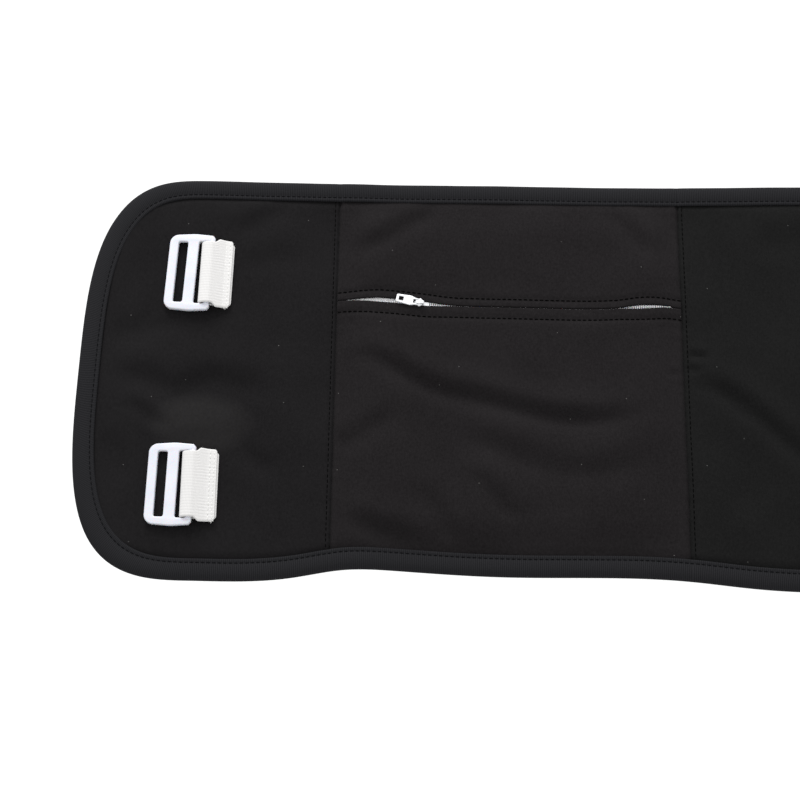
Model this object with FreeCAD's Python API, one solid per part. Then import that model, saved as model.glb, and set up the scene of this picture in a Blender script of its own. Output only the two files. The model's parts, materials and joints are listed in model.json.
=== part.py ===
import FreeCAD, Part

import math
import os

# Dive weight belt: five padded fabric panels in a row, with a zipped shot pocket in the second and
# the fourth, two slide buckles on the left end panel and two webbing straps on the right one.
# Origin: centre of the centre panel's back face. X runs along the belt, Y across it, Z out of the front.

# Belt outline and panel seams
BELT_HEIGHT = 240.0
END_PANEL = 150.0
POCKET_PANEL = 200.0
CENTRE_PANEL = 200.0
CORNER_RADIUS = 60.0
SEAM_OUT = 9.0            # the fabric folds this far from each pocket seam
FOLD_GAP = 7.0            # bare width at each fold, where only the fabric bends

# Layers, as heights above the back face
LINING_TOP = 0.8
FOAM_TOP = 3.0
SHELL_TOP = 4.2
BINDING_TOP = 4.8
BINDING_WIDTH = 12.0
BINDING_WALL = 1.0
BAG_TOP = 3.4
POCKET_TOP = 8.0
POCKET_SKIN = 1.2

# Shot pad in each pocket
PAD_LENGTH = 176.0
PAD_WIDTH = 110.0
PAD_BASE = 3.6
PAD_TOP = 6.6

# Pocket zip
ZIP_Y = 39.5
ZIP_LENGTH = 186.0
POCKET_WALL = 3.0         # cloth turned in round the lower pocket's edge
POCKET_BEVEL = 5.0
POCKET_END = 1.5
HEM_SHOULDER = 2.0
RIM_RISE = 0.4            # the upper face's rise beside the binding
MID_RISE = 1.0            # and halfway to the slit
PAD_CORNER = 8.0
LIP_GAP = 2.4             # width of the slit between the two fabric lips
LIP_BASE = 6.4
LIP_TOP = 7.2
HEM_INNER = 4.2
HEM_OUTER = 11.0
TAPE_BASE = 4.65
TAPE_TOP = 5.15
TAPE_INNER = 1.8
COIL_BASE = 4.3
COIL_TOP = 5.5
COIL_INNER = 0.5
COIL_OUTER = 1.9
STOP_LENGTH = 2.0

# Zip slider and pull tab
SLIDER_LENGTH = 9.0
SLIDER_HALF_WIDTH = 3.8
SLIDER_BASE = 3.6
SLIDER_TOP = 6.2
SLIDER_PLATE = 0.5
FLANGE_INNER = 2.2
POST_HALF = 0.3
BRIDGE_HALF = 0.6
BRIDGE_LENGTH = 5.2
BRIDGE_BAR = 0.7
BRIDGE_TOP = 9.6
BRIDGE_WALL = 1.2
SLIDER_SHIFT = 1.0        # from the pull's pin to the slider's middle
SLIDER_PLAY = 0.25
PIN_PLAY = 0.3
PIVOT_X = -252.0
PIVOT_Z = 8.1
PIN_RADIUS = 0.6
PULL_LENGTH = 14.0
PULL_WIDTH = 6.0
PULL_YAW = 12.0
PULL_ARM_INNER = 1.1
PULL_WAIST = 0.9          # how much narrower than its middle the tab is at the pin
PULL_TIP = 0.6            # and at its tip
PULL_SHOULDER = 5.0
GRIP_HOLE = (1.6, 4.2, 1.1)   # from the tip, to, and half across

# 38 mm webbing, slide buckles and their loops
WEBBING = 38.2
WEB_THICK = 1.4
BUCKLE_LONG = 48.0
BUCKLE_THICK = 3.0
BUCKLE_RADIUS = 5.0
BUCKLE_CHAMFER = 2.2
BUCKLE_CROWN = 0.9        # rise of the frame's long curved ends
OUTER_BAR = 5.2
STRAP_SLOT = 5.6
CENTRE_BAR = 6.4
LOOP_SLOT = 6.0
LOOP_BAR = 3.4
SLOT_LONG = 39.0
EYE_RADIUS = 2.0          # inside of the webbing loop round the buckle's bar
LOOP_SLOPE = 25.0
BUCKLE_TILT = 3.6
BUCKLES = {               # name: (bar centre x, y, yaw in degrees)
    "upper": (-374.5, 55.8, -2.6),
    "lower": (-378.3, -71.3, -1.0),
}
LOOP_END = 12.6           # from the bar's centre to the sewn end of the loop

# Straps on the right end panel
STRAP_Y = {"upper": 55.8, "lower": -71.3}
STRAP_THICK = 1.5
ANCHOR_START = 330.0
STRAP_HINGE = 370.0
STRAP_GAP = 2.4           # bare length on the anchor's side of the fold
STRAP_END = 750.0
STRAP_SLIT = 0.5          # bare length on the tail's side of the fold
STRAP_CLEAR = 4.0         # runs level this far before the binding
STRAP_RISE = 20.0
STRAP_DROOP = [(15, 3.6), (28, 1.2), (42, 0)]    # past the belt's end: underside height
STRAP_LIFT = 0.3          # the free tail lies this far above the panel
STRAP_TIP = 25.0          # turned-back end, twice as thick

HALF_HEIGHT = BELT_HEIGHT / 2
HALF_CENTRE = CENTRE_PANEL / 2
POCKET_SEAM = HALF_CENTRE + POCKET_PANEL
BELT_END = POCKET_SEAM + END_PANEL
HALF_GAP = FOLD_GAP / 2
POCKET_INNER = HALF_CENTRE - SEAM_OUT + HALF_GAP
POCKET_OUTER = POCKET_SEAM + SEAM_OUT - HALF_GAP
END_INNER = POCKET_SEAM + SEAM_OUT + HALF_GAP
CENTRE_EDGE = HALF_CENTRE - SEAM_OUT - HALF_GAP
POCKET_MIDDLE = -(HALF_CENTRE + POCKET_PANEL / 2)
BAR_Z = SHELL_TOP + WEB_THICK + EYE_RADIUS


def point(x, y, z):
    return FreeCAD.Vector(x, y, z)


def block(x0, x1, y0, y1, z0, z1):
    """Box between two corners."""
    return Part.makeBox(x1 - x0, y1 - y0, z1 - z0, point(x0, y0, z0))


def prism(edges, direction):
    """Solid swept straight from a closed outline."""
    return Part.Face(Part.Wire(edges)).extrude(direction)


def polygon_prism(corners, direction):
    return Part.Face(Part.makePolygon(corners + corners[:1])).extrude(direction)


def arc(centre, radius, start, end, place):
    """Circular edge between two angles in degrees; place turns plane coordinates into a point."""
    angles = [math.radians(a) for a in (start, (start + end) / 2, end)]
    ends = [place(centre[0] + radius * math.cos(a), centre[1] + radius * math.sin(a)) for a in angles]
    return Part.Arc(*ends).toShape()


def mirrored(shape):
    """The same piece on the other half of the belt."""
    return shape.mirror(point(0, 0, 0), point(1, 0, 0))


def turned(shape, centre, axis, degrees):
    result = shape.copy()
    result.rotate(centre, axis, degrees)
    return result


# ---------------------------------------------------------------- panels

def end_slab(inset, z0, z1):
    """Left end panel's outline, drawn in from its edge by inset, between two heights."""
    left = -BELT_END + inset
    top = HALF_HEIGHT - inset
    radius = CORNER_RADIUS - inset
    centre_x = left + radius
    centre_y = top - radius

    def at(x, y):
        return point(x, y, z0)

    outline = [
        Part.makeLine(at(-END_INNER, top), at(centre_x, top)),
        arc((centre_x, centre_y), radius, 90, 180, at),
        Part.makeLine(at(left, centre_y), at(left, -centre_y)),
        arc((centre_x, -centre_y), radius, 180, 270, at),
        Part.makeLine(at(centre_x, -top), at(-END_INNER, -top)),
        Part.makeLine(at(-END_INNER, -top), at(-END_INNER, top)),
    ]
    return prism(outline, point(0, 0, z1 - z0))


def end_panel():
    """Lining, foam, shell and edge binding of the left end panel."""
    binding = end_slab(0, 0, BINDING_TOP).cut(end_slab(BINDING_WALL, LINING_TOP, FOAM_TOP))
    return {
        "lining_end": end_slab(BINDING_WIDTH, 0, LINING_TOP),
        "foam_end": end_slab(BINDING_WALL, LINING_TOP, FOAM_TOP),
        "shell_end": end_slab(BINDING_WIDTH, FOAM_TOP, SHELL_TOP),
        "binding_end": binding.cut(end_slab(BINDING_WIDTH, 0, BINDING_TOP)),
    }


def straight_binding(x0, x1):
    """Binding folded over the top and bottom edges of a straight panel."""
    edge = block(x0, x1, HALF_HEIGHT - BINDING_WIDTH, HALF_HEIGHT, 0, BINDING_TOP)
    groove = block(x0, x1, HALF_HEIGHT - BINDING_WIDTH, HALF_HEIGHT - BINDING_WALL, LINING_TOP, FOAM_TOP)
    top = edge.cut(groove)
    return Part.makeCompound([top, top.mirror(point(0, 0, 0), point(0, 1, 0))])


def straight_layers(x0, x1):
    """Lining and foam of a straight panel."""
    inner = HALF_HEIGHT - BINDING_WIDTH
    groove = HALF_HEIGHT - BINDING_WALL
    return (
        block(x0, x1, -inner, inner, 0, LINING_TOP),
        block(x0, x1, -groove, groove, LINING_TOP, FOAM_TOP),
    )


def centre_panel():
    lining, foam = straight_layers(-CENTRE_EDGE, CENTRE_EDGE)
    inner = HALF_HEIGHT - BINDING_WIDTH
    return {
        "lining_centre": lining,
        "foam_centre": foam,
        "shell_centre": block(-CENTRE_EDGE, CENTRE_EDGE, -inner, inner, FOAM_TOP, SHELL_TOP),
        "binding_centre": straight_binding(-CENTRE_EDGE, CENTRE_EDGE),
    }


# ---------------------------------------------------------------- pocket

def pocket_shells():
    """Fabric above and below the zip; each has a hem beside the slit, and the lower one covers the pad."""
    x0, x1 = -POCKET_OUTER, -POCKET_INNER
    along = point(x1 - x0, 0, 0)
    edge = HALF_HEIGHT - BINDING_WIDTH
    lip = ZIP_Y + LIP_GAP / 2
    upper_profile = [
        (lip, LIP_BASE), (ZIP_Y + HEM_INNER, LIP_BASE), (ZIP_Y + HEM_INNER, TAPE_TOP),
        (ZIP_Y + HEM_OUTER, TAPE_TOP), (ZIP_Y + HEM_OUTER, BAG_TOP), (edge, BAG_TOP),
        (edge, SHELL_TOP + RIM_RISE), (ZIP_Y + 3 * HEM_OUTER, SHELL_TOP + MID_RISE),
        (ZIP_Y + HEM_OUTER + HEM_SHOULDER, LIP_TOP), (lip, LIP_TOP),
    ]
    lip = ZIP_Y - LIP_GAP / 2
    roof = POCKET_TOP - POCKET_SKIN
    lower_profile = [
        (lip, LIP_BASE), (ZIP_Y - HEM_INNER, LIP_BASE), (ZIP_Y - HEM_INNER, TAPE_TOP),
        (ZIP_Y - HEM_OUTER, TAPE_TOP), (ZIP_Y - HEM_OUTER, roof), (-edge + POCKET_WALL, roof),
        (-edge + POCKET_WALL, BAG_TOP), (-edge, BAG_TOP), (-edge, BINDING_TOP + MID_RISE),
        (-edge + POCKET_BEVEL, POCKET_TOP), (ZIP_Y - HEM_OUTER - HEM_SHOULDER, POCKET_TOP),
        (lip, LIP_TOP),
    ]
    upper = polygon_prism([point(x0, y, z) for y, z in upper_profile], along)
    lower = polygon_prism([point(x0, y, z) for y, z in lower_profile], along)
    ends = [
        block(x, x + POCKET_END, -edge, ZIP_Y - HEM_OUTER, BAG_TOP, roof)
        for x in (x0, x1 - POCKET_END)
    ]
    return upper, lower.fuse(ends).removeSplitter()


def zip_chain():
    """Tapes, coils and end stops, side by side along the slit."""
    half = ZIP_LENGTH / 2
    x0, x1 = POCKET_MIDDLE - half, POCKET_MIDDLE + half
    sides = {"upper": 1, "lower": -1}
    pieces = {}
    for name, side in sides.items():
        tape = sorted((ZIP_Y + side * TAPE_INNER, ZIP_Y + side * HEM_OUTER))
        coil = sorted((ZIP_Y + side * COIL_INNER, ZIP_Y + side * COIL_OUTER))
        whole = block(x0, x1, coil[0], coil[1], COIL_BASE, COIL_TOP)
        tape_solid = block(x0, x1, tape[0], tape[1], TAPE_BASE, TAPE_TOP)
        pieces["zip_coil_" + name] = whole.cut(tape_solid)
        pieces["zip_tape_" + name] = tape_solid
    stop = [
        block(x, x + STOP_LENGTH, ZIP_Y - COIL_OUTER, ZIP_Y + COIL_OUTER, COIL_BASE, COIL_TOP)
        for x in (x0 - STOP_LENGTH, x1)
    ]
    pieces["zip_end_stops"] = Part.makeCompound(stop)
    return pieces


def zip_slider():
    """Slider body: two plates joined by the post between the coils, with a bridge for the pull."""
    middle = PIVOT_X + SLIDER_SHIFT
    x0, x1 = middle - SLIDER_LENGTH / 2, middle + SLIDER_LENGTH / 2
    low = block(x0, x1, ZIP_Y - SLIDER_HALF_WIDTH, ZIP_Y + SLIDER_HALF_WIDTH,
                SLIDER_BASE, SLIDER_BASE + SLIDER_PLATE)
    high = block(x0, x1, ZIP_Y - SLIDER_HALF_WIDTH, ZIP_Y + SLIDER_HALF_WIDTH,
                 SLIDER_TOP - SLIDER_PLATE, SLIDER_TOP)
    post = block(x0 + 1, x0 + 4, ZIP_Y - POST_HALF, ZIP_Y + POST_HALF,
                 SLIDER_BASE + SLIDER_PLATE, SLIDER_TOP - SLIDER_PLATE)
    flanges = []
    for side in (1, -1):
        y0, y1 = sorted((ZIP_Y + side * FLANGE_INNER, ZIP_Y + side * SLIDER_HALF_WIDTH))
        flanges.append(block(x0, x1, y0, y1, SLIDER_BASE + SLIDER_PLATE, TAPE_BASE - SLIDER_PLAY))
        flanges.append(block(x0, x1, y0, y1, TAPE_TOP + SLIDER_PLAY, SLIDER_TOP - SLIDER_PLATE))
    half = BRIDGE_LENGTH / 2
    bridge = block(PIVOT_X - half, PIVOT_X + half, ZIP_Y - BRIDGE_HALF, ZIP_Y + BRIDGE_HALF,
                   SLIDER_TOP, BRIDGE_TOP)
    inner = half - BRIDGE_WALL
    window = block(PIVOT_X - inner, PIVOT_X + inner, ZIP_Y - BRIDGE_HALF, ZIP_Y + BRIDGE_HALF,
                   PIVOT_Z - PIN_RADIUS - PIN_PLAY, BRIDGE_TOP - BRIDGE_BAR)
    return low.fuse([high, post, bridge.cut(window)] + flanges).removeSplitter()


def pull_tab():
    """Flat tab with two arms and a cross pin that passes through the slider's bridge."""
    z0, z1 = PIVOT_Z - PIN_RADIUS, PIVOT_Z + PIN_RADIUS
    half = PULL_WIDTH / 2
    root, end = half - PULL_WAIST, half - PULL_TIP
    tip = PIVOT_X - PULL_LENGTH

    def at(x, y):
        return point(x, y, z0)

    outline = [
        at(PIVOT_X, ZIP_Y - root), at(PIVOT_X, ZIP_Y + root),
        at(PIVOT_X - PULL_SHOULDER, ZIP_Y + half), at(tip + 1, ZIP_Y + end),
        at(tip, ZIP_Y + end - 1), at(tip, ZIP_Y - end + 1),
        at(tip + 1, ZIP_Y - end), at(PIVOT_X - PULL_SHOULDER, ZIP_Y - half),
    ]
    plate = polygon_prism(outline, point(0, 0, z1 - z0))
    barrel = Part.makeCylinder(PIN_RADIUS, 2 * root, point(PIVOT_X, ZIP_Y - root, PIVOT_Z), point(0, 1, 0))
    notch = block(PIVOT_X - BRIDGE_LENGTH / 2 - PULL_WAIST, PIVOT_X + PULL_WAIST,
                  ZIP_Y - PULL_ARM_INNER, ZIP_Y + PULL_ARM_INNER, z0, z1)
    near, far, across = GRIP_HOLE
    grip_hole = block(tip + near, tip + far, ZIP_Y - across, ZIP_Y + across, z0, z1)
    pin = Part.makeCylinder(PIN_RADIUS, 2 * PULL_ARM_INNER, point(PIVOT_X, ZIP_Y - PULL_ARM_INNER, PIVOT_Z),
                            point(0, 1, 0))
    tab = plate.fuse(barrel).cut(notch).cut(grip_hole).fuse(pin).removeSplitter()
    return turned(tab, point(PIVOT_X, ZIP_Y, PIVOT_Z), point(0, 0, 1), -PULL_YAW)


def pocket_panel():
    x0, x1 = -POCKET_OUTER, -POCKET_INNER
    edge = HALF_HEIGHT - BINDING_WIDTH
    lining, foam = straight_layers(x0, x1)
    upper, lower = pocket_shells()
    pad_top_y = ZIP_Y - HEM_OUTER - HEM_SHOULDER
    pad = block(POCKET_MIDDLE - PAD_LENGTH / 2, POCKET_MIDDLE + PAD_LENGTH / 2,
                pad_top_y - PAD_WIDTH, pad_top_y, PAD_BASE, PAD_TOP)
    upright = [e for e in pad.Edges if abs(e.Vertexes[0].Z - e.Vertexes[1].Z) > 1]
    pieces = {
        "lining_pocket": lining,
        "foam_pocket": foam,
        "binding_pocket": straight_binding(x0, x1),
        "pocket_bag": block(x0, x1, -edge, edge, FOAM_TOP, BAG_TOP),
        "shot_pad": pad.makeFillet(PAD_CORNER, upright),
        "shell_pocket_upper": upper,
        "shell_pocket_lower": lower,
        "zip_slider": zip_slider(),
        "zip_pull_tab": pull_tab(),
    }
    pieces.update(zip_chain())
    return pieces


# ---------------------------------------------------------------- buckles and straps

def place_buckle_part(shape, name):
    """Move a piece drawn round a bar at the origin to its buckle's place and yaw."""
    x, y, yaw = BUCKLES[name]
    result = turned(shape, point(0, 0, 0), point(0, 0, 1), yaw)
    result.translate(point(x, y, BAR_Z))
    return result


def slide_buckle():
    """Two-slot slide buckle with its round loop bar on the Y axis, lying along -X."""
    half = BUCKLE_LONG / 2
    right = LOOP_BAR / 2
    left = right - (OUTER_BAR + STRAP_SLOT + CENTRE_BAR + LOOP_SLOT + LOOP_BAR)
    z0 = -BUCKLE_THICK / 2
    chamfer = BUCKLE_CHAMFER

    def at(x, y):
        return point(x, y, z0)

    def corner(centre_y, start, end):
        return arc((left + BUCKLE_RADIUS, centre_y), BUCKLE_RADIUS, start, end, at)

    def crowned(low, high):
        start, end = at(left + BUCKLE_RADIUS, low), at(right - chamfer, low)
        return Part.Arc(start, at((left + right) / 2, high), end).toShape()

    shoulder = half - BUCKLE_CROWN
    outline = [
        corner(shoulder - BUCKLE_RADIUS, 180, 90),
        crowned(shoulder, half),
        Part.makeLine(at(right - chamfer, shoulder), at(right, shoulder - chamfer)),
        Part.makeLine(at(right, shoulder - chamfer), at(right, -shoulder + chamfer)),
        Part.makeLine(at(right, -shoulder + chamfer), at(right - chamfer, -shoulder)),
        crowned(-shoulder, -half),
        corner(-shoulder + BUCKLE_RADIUS, 270, 180),
        Part.makeLine(at(left, -shoulder + BUCKLE_RADIUS), at(left, shoulder - BUCKLE_RADIUS)),
    ]
    plate = prism(outline, point(0, 0, BUCKLE_THICK))
    slot = SLOT_LONG / 2
    strap_slot = block(left + OUTER_BAR, left + OUTER_BAR + STRAP_SLOT, -slot, slot, z0, -z0)
    loop_slot = block(-right - LOOP_SLOT, right + 1, -slot, slot, z0, -z0)
    bar = Part.makeCylinder(LOOP_BAR / 2, SLOT_LONG, point(0, -slot, 0), point(0, 1, 0))
    buckle = plate.cut(strap_slot).cut(loop_slot).fuse(bar).removeSplitter()
    return turned(buckle, point(0, 0, 0), point(0, 1, 0), -BUCKLE_TILT)


def webbing_loop():
    """Webbing folded round the bar at the origin; both ends meet and are sewn down on its right."""
    slope = math.radians(LOOP_SLOPE)
    outer = EYE_RADIUS + WEB_THICK
    floor = -outer
    eye_floor = -EYE_RADIUS
    sewn_top = floor + 2 * WEB_THICK
    bend_out = (outer - math.cos(slope) * sewn_top) / math.sin(slope)
    bend_in = (EYE_RADIUS - math.cos(slope) * eye_floor) / math.sin(slope)
    lean = 90 - LOOP_SLOPE
    half = WEBBING / 2

    def at(x, z):
        return point(x, -half, z)

    def on_circle(radius):
        return at(radius * math.sin(slope), radius * math.cos(slope))

    outside = [
        arc((0, 0), outer, 270, lean, at),
        Part.makeLine(on_circle(outer), at(bend_out, sewn_top)),
        Part.makeLine(at(bend_out, sewn_top), at(LOOP_END, sewn_top)),
        Part.makeLine(at(LOOP_END, sewn_top), at(LOOP_END, floor)),
        Part.makeLine(at(LOOP_END, floor), at(0, floor)),
    ]
    eye = [
        arc((0, 0), EYE_RADIUS, 270, lean, at),
        Part.makeLine(on_circle(EYE_RADIUS), at(bend_in, eye_floor)),
        Part.makeLine(at(bend_in, eye_floor), at(0, eye_floor)),
    ]
    across = point(0, WEBBING, 0)
    return prism(outside, across).cut(prism(eye, across))


def strap_anchor(y):
    """Sewn-down start of a strap on the right end panel."""
    half = WEBBING / 2
    return block(ANCHOR_START, STRAP_HINGE - STRAP_GAP, y - half, y + half,
                 SHELL_TOP, SHELL_TOP + STRAP_THICK)


def strap_tail(y):
    """Free strap: over the panel and its binding, down to the surface below, and flat to its tip."""
    half = WEBBING / 2
    low = SHELL_TOP + STRAP_LIFT
    over = BINDING_TOP + STRAP_LIFT
    rise_end = BELT_END - BINDING_WIDTH - STRAP_CLEAR
    underside = [
        (STRAP_HINGE + STRAP_SLIT, low), (rise_end - STRAP_RISE, low), (rise_end, over),
        (BELT_END + STRAP_CLEAR / 2, over),
    ]
    underside += [(BELT_END + out, z) for out, z in STRAP_DROOP] + [(STRAP_END, 0)]
    topside = [(x, z + STRAP_THICK) for x, z in underside]
    tip = [(STRAP_END, 2 * STRAP_THICK), (STRAP_END - STRAP_TIP, 2 * STRAP_THICK),
           (STRAP_END - STRAP_TIP - 1, STRAP_THICK)]
    profile = underside + tip + topside[-2::-1]
    return polygon_prism([point(x, y - half, z) for x, z in profile], point(0, WEBBING, 0))


# ---------------------------------------------------------------- whole belt

def build():
    nodes = centre_panel()
    for name, shape in end_panel().items():
        nodes[name + "_left"] = shape
        nodes[name + "_right"] = mirrored(shape)
    for name, shape in pocket_panel().items():
        nodes[name + "_left"] = shape
        nodes[name + "_right"] = mirrored(shape)
    for name in BUCKLES:
        nodes["slide_buckle_" + name] = place_buckle_part(slide_buckle(), name)
        nodes["webbing_loop_" + name] = place_buckle_part(webbing_loop(), name)
    for name, y in STRAP_Y.items():
        nodes["strap_anchor_" + name] = strap_anchor(y)
        nodes["strap_tail_" + name] = strap_tail(y)
    return nodes


os.makedirs("parts", exist_ok=True)
for node, solid in build().items():
    solid.exportStep("parts/" + node + ".step")
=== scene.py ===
import json
import math

import bpy
import bmesh
import numpy as np
from mathutils import Matrix, Vector


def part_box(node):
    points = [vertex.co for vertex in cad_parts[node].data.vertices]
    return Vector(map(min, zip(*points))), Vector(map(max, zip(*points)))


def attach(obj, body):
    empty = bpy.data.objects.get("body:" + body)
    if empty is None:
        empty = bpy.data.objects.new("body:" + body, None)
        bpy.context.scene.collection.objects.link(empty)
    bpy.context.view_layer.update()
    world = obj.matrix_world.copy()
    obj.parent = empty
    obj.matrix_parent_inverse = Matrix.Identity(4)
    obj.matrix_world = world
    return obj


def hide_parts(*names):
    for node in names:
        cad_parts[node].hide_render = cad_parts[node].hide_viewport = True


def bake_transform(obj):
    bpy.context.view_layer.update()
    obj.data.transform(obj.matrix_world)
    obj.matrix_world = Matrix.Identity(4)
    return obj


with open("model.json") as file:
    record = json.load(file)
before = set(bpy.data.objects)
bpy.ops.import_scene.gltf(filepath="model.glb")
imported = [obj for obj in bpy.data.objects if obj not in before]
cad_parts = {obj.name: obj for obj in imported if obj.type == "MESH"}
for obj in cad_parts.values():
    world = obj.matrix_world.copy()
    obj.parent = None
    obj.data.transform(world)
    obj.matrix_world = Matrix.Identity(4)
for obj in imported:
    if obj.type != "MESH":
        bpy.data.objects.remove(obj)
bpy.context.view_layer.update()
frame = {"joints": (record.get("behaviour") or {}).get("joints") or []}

# Lengths in the making are millimetres, as a pattern cutter has them, and meshes are metres.
MM = 0.001

# ---------------------------------------------------------------- places taken from the frame

JOINTS = {j["name"]: j for j in frame["joints"]}


def pivot(joint):
    """A hinge's point in millimetres."""
    return [1000 * v for v in JOINTS[joint]["pos_m"]]


def extent(node):
    """A CAD node's box in millimetres: lowest and highest corner."""
    low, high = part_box(node)
    return [1000 * v for v in low], [1000 * v for v in high]


SEAM_TO_FOLD = 9.0
FOLD_REACH = 9.0          # reach to each side of a fold, given to bend
INNER_SEAM = pivot("inner_fold_right")[0] + SEAM_TO_FOLD
OUTER_SEAM = pivot("outer_fold_right")[0] - SEAM_TO_FOLD
BELT_END = extent("binding_end_right")[1][0]
HALF_HEIGHT = extent("binding_centre")[1][1]
ZIP_Y = (extent("zip_coil_lower_left")[1][1] + extent("zip_coil_upper_left")[0][1]) / 2
PANEL_TOP = extent("shell_centre")[1][2]
FOAM_BASE, FOAM_TOP = (v[2] for v in extent("foam_centre"))
BINDING_WIDTH = 12.0
CORNER_START = 75.0       # length of the rounded end, measured along the belt
CORNER_POWER = 3.2        # 2 is an ellipse, and more is squarer
END_SLANT = 0.02          # the ends were not cut quite square
END_SHORT = 3.0
CLOTH = 1.0               # thickness of the face fabric
STITCH_PITCH = 3.05

# How the face lies, in millimetres of height
PAD_RISE = 2.2            # over the shot pad
LOWER_PAD_RISE = 0.9      # and this much more below the zip
FOLD_STRENGTH = 1.6
SLACK_STRENGTH = 1.4
HELD_DOWN = 0.12          # share of its looseness that cloth keeps beside sewn webbing
SEAM_CRACK = 1.15
SEAM_STITCH = 2.4         # from a seam to its row of stitches
THREAD_GROOVE = 0.55
BINDING_TUCK = 1.25       # the face is pressed down this much where the binding grips it
HEM_LEVEL = 5.7           # height of the pressed hems at a pocket's seams
HEM_RISE = 1.45           # and how much higher they lie away from the seams
HEM_PRESS = 0.8
LIP_NOSE = 0.9
HEM_THICKNESS = 0.95
UPPER_ROW = 4.9           # from the slit's lips to the rows of stitches beside it
LOWER_ROW = 6.9

# ---------------------------------------------------------------- small mathematics


def ease(t):
    """Smooth step from 0 to 1."""
    t = np.clip(t, 0, 1)
    return t * t * (3 - 2 * t)


def curve_through(points, x):
    """Smooth curve through a few points (natural cubic spline), flat past its ends."""
    px, py = (np.array(v, float) for v in zip(*points))
    n = len(px)
    h = np.diff(px)
    a = np.zeros((n, n))
    b = np.zeros(n)
    a[0, 0] = a[-1, -1] = 1
    for i in range(1, n - 1):
        a[i, i - 1:i + 2] = h[i - 1], 2 * (h[i - 1] + h[i]), h[i]
        b[i] = 6 * ((py[i + 1] - py[i]) / h[i] - (py[i] - py[i - 1]) / h[i - 1])
    m = np.linalg.solve(a, b)
    x = np.clip(np.asarray(x, float), px[0], px[-1])
    k = np.clip(np.searchsorted(px, x) - 1, 0, n - 2)
    u, v = px[k + 1] - x, x - px[k]
    return (
        (m[k] * u ** 3 + m[k + 1] * v ** 3) / (6 * h[k])
        + (py[k] / h[k] - m[k] * h[k] / 6) * u
        + (py[k + 1] / h[k] - m[k + 1] * h[k] / 6) * v
    )


def swell(x, start, end, ramp):
    """1 between start and end, easing to 0 over ramp at each side."""
    return ease((x - start) / ramp) * ease((end - x) / ramp)


# ---------------------------------------------------------------- the belt's plan

# The long edges as sewn: a little pulled in at the first pocket seam and let out between seams.
TOP_EDGE = [(-450, 117.5), (-390, 117.2), (-300, 116.3), (-205, 116.6), (-92, 117.4), (-27, 119.2),
            (60, 118.4), (160, 117.6), (300, 116.8), (380, 118.2), (450, 118.0)]
BOTTOM_EDGE = [(-450, -124.6), (-375, -124.8), (-320, -122.2), (-294, -117.6), (-261, -117.6),
               (-206, -120.0), (-101, -120.8), (-68, -124.0), (-38, -125.6), (60, -122.0),
               (180, -120.0), (296, -118.6), (380, -122.8), (450, -122.5)]
ZIP_LINE = [(-300, 1.3), (-275, 1.9), (-253, 0.2), (-235, -1.1), (-194, -1.6), (-157, -1.9),
            (-140, -1.2), (-121, 0.4), (-106, 0.4), (-100, -0.2)]


def edge_y(x, side):
    """Height of the belt's top (side 1) or bottom (side -1) edge."""
    return curve_through(TOP_EDGE if side > 0 else BOTTOM_EDGE, x)


def zip_y(x):
    """The slit's line; the right pocket's is the left one's mirror."""
    return ZIP_Y + curve_through(ZIP_LINE, -np.abs(x))


def zip_gape(x):
    """Half the slit's width: the lips part at both ends and round the slider."""
    away = np.abs(x)
    wide = swell(away, 229, 297, 24) * 1.1 + swell(away, 104, 139, 16) * 0.9
    return 0.07 + wide


def plan(u, v, inset):
    """Point of a panel: u counts panels along the belt and v runs from -1 to 1 across it.

    u is a place along X in millimetres; past the start of a rounded end it runs on to BELT_END,
    where rows close in on the corner so that the outline is round and every face has four sides.
    """
    u, v = np.broadcast_arrays(np.asarray(u, float), np.asarray(v, float))
    start = BELT_END - CORNER_START
    turn = np.clip((np.abs(u) - start) / CORNER_START, 0, 1)
    power = CORNER_POWER
    reach = (CORNER_START - inset - END_SHORT) * turn * (1 - np.abs(v) ** power / 2) ** (1 / power)
    x = np.where(turn > 0, np.sign(u) * (start + reach), u)
    across = v * (1 - turn ** power / 2) ** (1 / power)
    level = np.where(np.abs(u) > start, np.sign(u) * start, u)
    top = edge_y(level, 1) - inset
    bottom = edge_y(level, -1) + inset
    y = (top + bottom) / 2 + across * (top - bottom) / 2
    return x - np.sign(u) * END_SLANT * turn * y, y


def edge_distance(u, v, inset):
    """How far a panel's point is from the belt's edge, near enough for shading the rim."""
    start = BELT_END - CORNER_START
    turn = np.clip((np.abs(u) - start) / CORNER_START, 0, 1)
    along = np.where(turn > 0, (1 - turn) * CORNER_START, 1e3)
    return inset + np.minimum((1 - np.abs(v)) * HALF_HEIGHT, along)


# ---------------------------------------------------------------- how the cloth lies

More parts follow.
